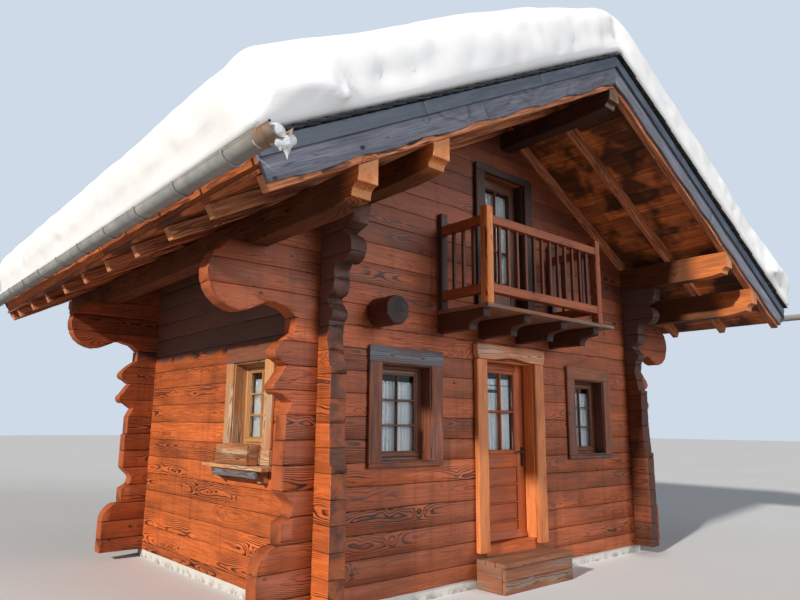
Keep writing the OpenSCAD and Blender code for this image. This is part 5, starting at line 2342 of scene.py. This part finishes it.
@dataclass
class Entrance:
    """The door posts, the carved header, the leaf with its light, and the step."""

    x: float = -0.055
    width: float = 0.85
    post_w: float = 0.17
    post_out: float = 0.06
    post_foot: float = 0.35
    top: float = 2.39
    lining: float = 0.012
    leaf_in: float = 0.125
    leaf_t: float = 0.05
    gap: float = 0.008
    light: Triple = (0.45, 1.393, 2.258)
    ring: float = 0.045
    rail: float = 0.14
    boards: int = 4
    bar: Triple = (0.030, 0.044, 0.014)
    rail_cut: Cut = Cut(0.004, 0.3, 0.0008)
    ring_cut: Cut = Cut(0.007, 0.3, 0.0006)
    header_cut: Cut = Cut(0.007, 0.025, 0.008)
    step_cut: Cut = Cut(0.006, 0.12, 0.003)

    def build(self) -> None:
        """Builds the entrance."""
        self.surround()
        self.leaf()
        self.curtains()
        self.step()
        for node in ("door_hinges", "door_ironwork"):
            repaint(node, Iron())
        repaint("door_glass", Glazing())

    def place(self) -> Matrix:
        """The doorway's frame."""
        return Wall.FRONT.place() @ Matrix.Translation((self.x, 0.0, 0.0))

    def surround(self) -> None:
        """Builds the posts, the lining and the header."""
        work = Timberwork("door_posts_made", 100, self.place())
        half, y, top = self.width / 2, (-0.02, self.leaf_in - 0.006), self.top
        for side in (-1, 1):
            work.board(beside(side, half, half + self.post_w), (-self.post_out, 0.0),
                       (self.post_foot, top), 2, Cut(0.010, 0.1, 0.005))
            work.board(beside(side, half, half - self.lining), y, (HOUSE.floor, top), 2, LINING)
        work.board((-half, half), y, (top - self.lining, top), 0, Cut(0.003, 0.4))
        work.piece(POST_STAIN, "door_posts")
        header = Timberwork("door_header_made", 101)
        header.carved("door_header", Vector((1.0, 0.0, 0.0)), self.header_cut)
        header.piece(HEADER_STAIN, "door_header")

    def leaf(self) -> None:
        """Builds the leaf: stiles, rails, the moulded light with its bars, and ledged boards."""
        work = Timberwork("door_leaf_made", 102, self.place())
        half, y0, y1 = self.width / 2 - self.gap, self.leaf_in, self.leaf_in + self.leaf_t
        low, high = HOUSE.floor + self.gap, self.top - self.gap
        wide, light_low, light_high = self.light
        ring_low, ring_high, inner = light_low - self.ring, light_high + self.ring, wide / 2 + self.ring
        y, ring_y, across = (y0, y1), (y0 - 0.008, y1), (-inner, inner)
        for side in (-1, 1):
            work.board(beside(side, half, inner), y, (low, high), 2, self.rail_cut)
            work.board(beside(side, inner, wide / 2), ring_y, (ring_low, ring_high), 2, self.ring_cut)
        work.board(across, y, (ring_high, high), 0, self.rail_cut)
        for z in ((ring_low, light_low), (light_high, ring_high)):
            work.board((-wide / 2, wide / 2), ring_y, z, 0, self.ring_cut)
        rail = ring_low - self.rail
        work.board(across, y, (rail, ring_low), 0, self.rail_cut)
        height = (rail - low) / self.boards
        ledge = [(-0.016, -0.004), (0.012, -0.020), (0.012, 0.010), (-0.012, 0.006)]
        for index in range(self.boards):
            z = low + index * height
            work.board(across, (y0 + 0.012, y1), (z, z + height - 0.002), 0, Cut(0.004, 0.2, 0.001))
            work.sweep(ledge, 2 * inner, (-inner, y0 + 0.002, z + height - 0.004), cut=Cut(0.002))
        sill = [(-0.030, -0.02), (0.0, -0.02), (0.0, 0.065), (-0.030, 0.0)]
        work.sweep(sill, 2 * half - 0.02, (-half + 0.01, y0, low + 0.022), cut=Cut(0.003))
        add_bars(work, self.bar, (0.0, y0 + self.bar[1] / 2, light_low), wide, light_high - light_low, 2)
        work.piece(JOINERY_STAIN, "door_leaf", body=Body.DOOR)

    def curtains(self) -> None:
        """Hangs the light's lace and the short valance over it, which swing with the leaf."""
        rods = Timberwork("door_rods_made", 103, self.place())
        wide, light_low, light_high = self.light
        low, high, back = light_high - 0.13, light_high - 0.05, self.leaf_in + self.leaf_t
        for z in (low, high):
            add_rod(rods, wide + 0.06, back + 0.006, z)
        rods.piece(Iron(), slot="iron", body=Body.DOOR)
        lace = Drape("door_curtain", wide - 0.02, low - light_low + 0.03, 9, 0.007)
        lace.hang(rods, (0.0, back + 0.016, low), Body.DOOR)
        valance = Drape("door_valance", wide - 0.01, 0.15, 7, 0.006)
        valance.hang(rods, (0.0, back + 0.014, high), Body.DOOR)

    def step(self) -> None:
        """Builds the step: planks on two boards in front and a bearer at each side."""
        work = Timberwork("door_step_made", 104, Wall.FRONT.place())
        reach = self.width / 2 + self.post_w
        left, right = self.x - reach, self.x + reach
        for index in range(3):
            y = -0.39 + index * 0.13
            work.board((left, right), (y + 0.002, y + 0.128), (0.255, 0.30), 0, self.step_cut)
        for z in ((0.0, 0.125), (0.128, 0.254)):
            work.board((left + 0.02, right - 0.02), (-0.375, -0.335), z, 0, Cut(0.005, 0.12, 0.003))
        for x in (left + 0.01, right - 0.05):
            work.board((x, x + 0.04), (-0.334, 0.0), (0.0, 0.254), 1, Cut(0.004, 0.12, 0.002))
        work.piece(DECK_STAIN, "door_step")


@dataclass
class Balcony:
    """The balcony on its carved beams, with its railing and door."""

    left: float = -1.193
    right: float = 0.859
    over: float = 0.25
    out: float = 0.704
    top: float = 2.861
    deck: float = 0.04
    boards: int = 5
    post: float = 0.095
    wall_post: float = 0.06
    post_tops: Span = (3.871, 3.931)
    rail: float = 0.09
    rail_tops: Span = (3.066, 3.781)
    baluster: float = 0.034
    gaps: tuple[int, int] = (13, 4)
    door_x: float = -0.085
    door_w: float = 0.74
    door_h: float = 1.76
    frame_w: float = 0.15
    light: Triple = (0.5, 0.50, 0.12)
    bar: Triple = (0.026, 0.038, 0.012)
    post_cut: Cut = Cut(0.006, 0.1, 0.002)
    leaf_cut: Cut = Cut(0.005, 0.3, 0.001)

    def build(self) -> None:
        """Builds the balcony."""
        beams = Timberwork("floor_beams_made", 110)
        beams.carved("floor_beams", Vector((0.0, 1.0, 0.0)), Cut(0.008, 0.10, 0.004))
        beams.piece(SHADED_BEAM_STAIN, "floor_beams", "roof_timber")
        deck = Timberwork("deck_boards_made", 111, Wall.FRONT.place())
        width = self.out / self.boards
        for index in range(self.boards):
            y = -self.out + index * width
            deck.board((self.left, self.right + self.over), (y + 0.001, y + width - 0.002),
                       (self.top - self.deck, self.top), 0, Cut(0.005, 0.12, 0.002))
        deck.piece(DECK_STAIN, "balcony_floor", "floor_boards")
        self.railing()
        self.balusters()
        self.door()

    def railing(self) -> None:
        """Builds the posts and rails."""
        place = Wall.FRONT.place()
        posts = Timberwork("balcony_posts_made", 112, place)
        rails = Timberwork("balcony_rails_made", 113, place)
        front = (-self.out, self.post - self.out)
        inset = (self.post - self.rail) / 2
        # Painted light: the left front post takes the sunlit copy, the right one the plain stain.
        for seed, x, finish in ((118, self.left, SUNLIT_POST_WOOD), (119, self.right - self.post, BALCONY_STAIN)):
            wide = (x, x + self.post)
            post = Timberwork(f"balcony_front_post_{seed}", seed, place)
            post.board(wide, front, (self.top, self.post_tops[0]), 2, self.post_cut)
            post.piece(finish, "balcony_posts", "balcony_wood")
            posts.board(wide, (-self.wall_post, 0.0), (self.top, self.post_tops[1]), 2, self.post_cut)
            for z in self.rail_tops:
                rails.board((x + inset, x + inset + self.rail), (front[1], -self.wall_post),
                            (z - self.rail, z), 1, Cut(0.005, 0.1, 0.0025))
        y = -self.out + inset
        for z in self.rail_tops:
            rails.board((self.left + self.post, self.right - self.post), (y, y + self.rail),
                        (z - self.rail, z), 0, Cut(0.005, 0.1, 0.003))
        posts.piece(DARK_FRAME, "balcony_posts", "balcony_wood")
        rails.piece(BALCONY_STAIN, "balcony_rails", "balcony_wood")

    def balusters(self) -> None:
        """Builds the three rows of balusters."""
        rows = row_tree()
        half, post = (-self.baluster / 2, self.baluster / 2), self.post
        across = (self.right - self.left - 2 * post) / self.gaps[0]
        deep = (self.out - post - self.wall_post) / self.gaps[1]
        whole = bmesh.new()
        for start, step, gaps, seed in (
                ((self.left + post + across, post / 2 - self.out, 0.0), (across, 0.0, 0.0), self.gaps[0], 3),
                ((self.left + post / 2, -self.wall_post - deep, 0.0), (0.0, -deep, 0.0), self.gaps[1], 4),
                ((self.right - post / 2, -self.wall_post - deep, 0.0), (0.0, -deep, 0.0), self.gaps[1], 5)):
            stick = Timberwork("baluster_template", 114)
            stick.board(half, half, (self.rail_tops[0], self.rail_tops[1] - self.rail), 2,
                        Cut(0.004, 0.12, 0.0015))
            mesh = grow(rows, "baluster_row", BALUSTER_STAIN, {
                "Template": new_object(stick.name, stick.mesh()), "Count": gaps - 1, "In Row": gaps - 1,
                "Step": Vector(step), "Jitter": Vector((0.002, 0.001, 0.0)), "Turn": Vector((0.0, 0.0, 0.10)),
                "Seed": seed})
            mesh.transform(Wall.FRONT.place() @ Matrix.Translation(start))
            whole.from_mesh(mesh)
        data = as_mesh("balusters_made", whole)
        hand_over("balusters_made", data, BALUSTER_STAIN, "balcony_balusters", angle=30.0)

    def door(self) -> None:
        """Builds the balcony door, its frame and its curtain."""
        place = Wall.FRONT.place() @ Matrix.Translation((self.door_x, 0.0, 0.0))
        frame_work = Timberwork("loft_frame_made", 115, place)
        leaf = Timberwork("loft_door_made", 116, place)
        half, low, high = self.door_w / 2, self.top, self.top + self.door_h
        wide, light_low, light_high = self.light[0], low + self.light[1], high - self.light[2]
        outer, inner, y, rail = half + self.frame_w, wide / 2, (0.11, 0.16), light_low - 0.11
        for side in (-1, 1):
            frame_work.board(beside(side, half, outer), (-0.05, 0.0), (low, high), 2, HEWN)
            frame_work.board(beside(side, half, half - 0.012), (-0.01, 0.11), (low, high), 2, LINING)
            leaf.board(beside(side, half - 0.013, inner), y, (low, high), 2, self.leaf_cut)
        frame_work.board((-outer, outer), (-0.05, 0.0), (high, high + 0.09), 0, HEWN)
        for y_span, z, along in ((y, (light_high, high), 0), (y, (rail, light_low), 0),
                                 ((0.122, 0.158), (low, rail), 2)):
            leaf.board((-inner, inner), y_span, z, along, self.leaf_cut)
        add_bars(leaf, self.bar, (0.0, 0.137, light_low), wide, light_high - light_low, 3)
        frame_work.piece(DARK_FRAME, "balcony_door_frame")
        leaf.piece(SASH_STAIN, "balcony_door")
        rods = Timberwork("loft_rod_made", 117, place)
        top = light_high - 0.02
        add_rod(rods, 0.6, 0.185, top)
        rods.piece(Iron(), slot="iron")
        lace = Drape("loft_curtain", 0.52, light_high - light_low + 0.02, 9, 0.010)
        lace.hang(rods, (0.0, 0.185, top), Body.HOUSE)


def main() -> None:
    """Builds the chalet's looks in order."""
    logging.basicConfig(level=logging.INFO)
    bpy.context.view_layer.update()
    for kind in (Studio, Walls, RoofTimbers, RoofBoards, EaveBoards, Battens, Slates, GableBoards, Gutters,
                 SnowBlanket, GutterIce, Windows, Entrance, Balcony):
        LOG.info("building the %s", kind.__name__)
        kind().build()


if __name__ == "__main__":
    main()
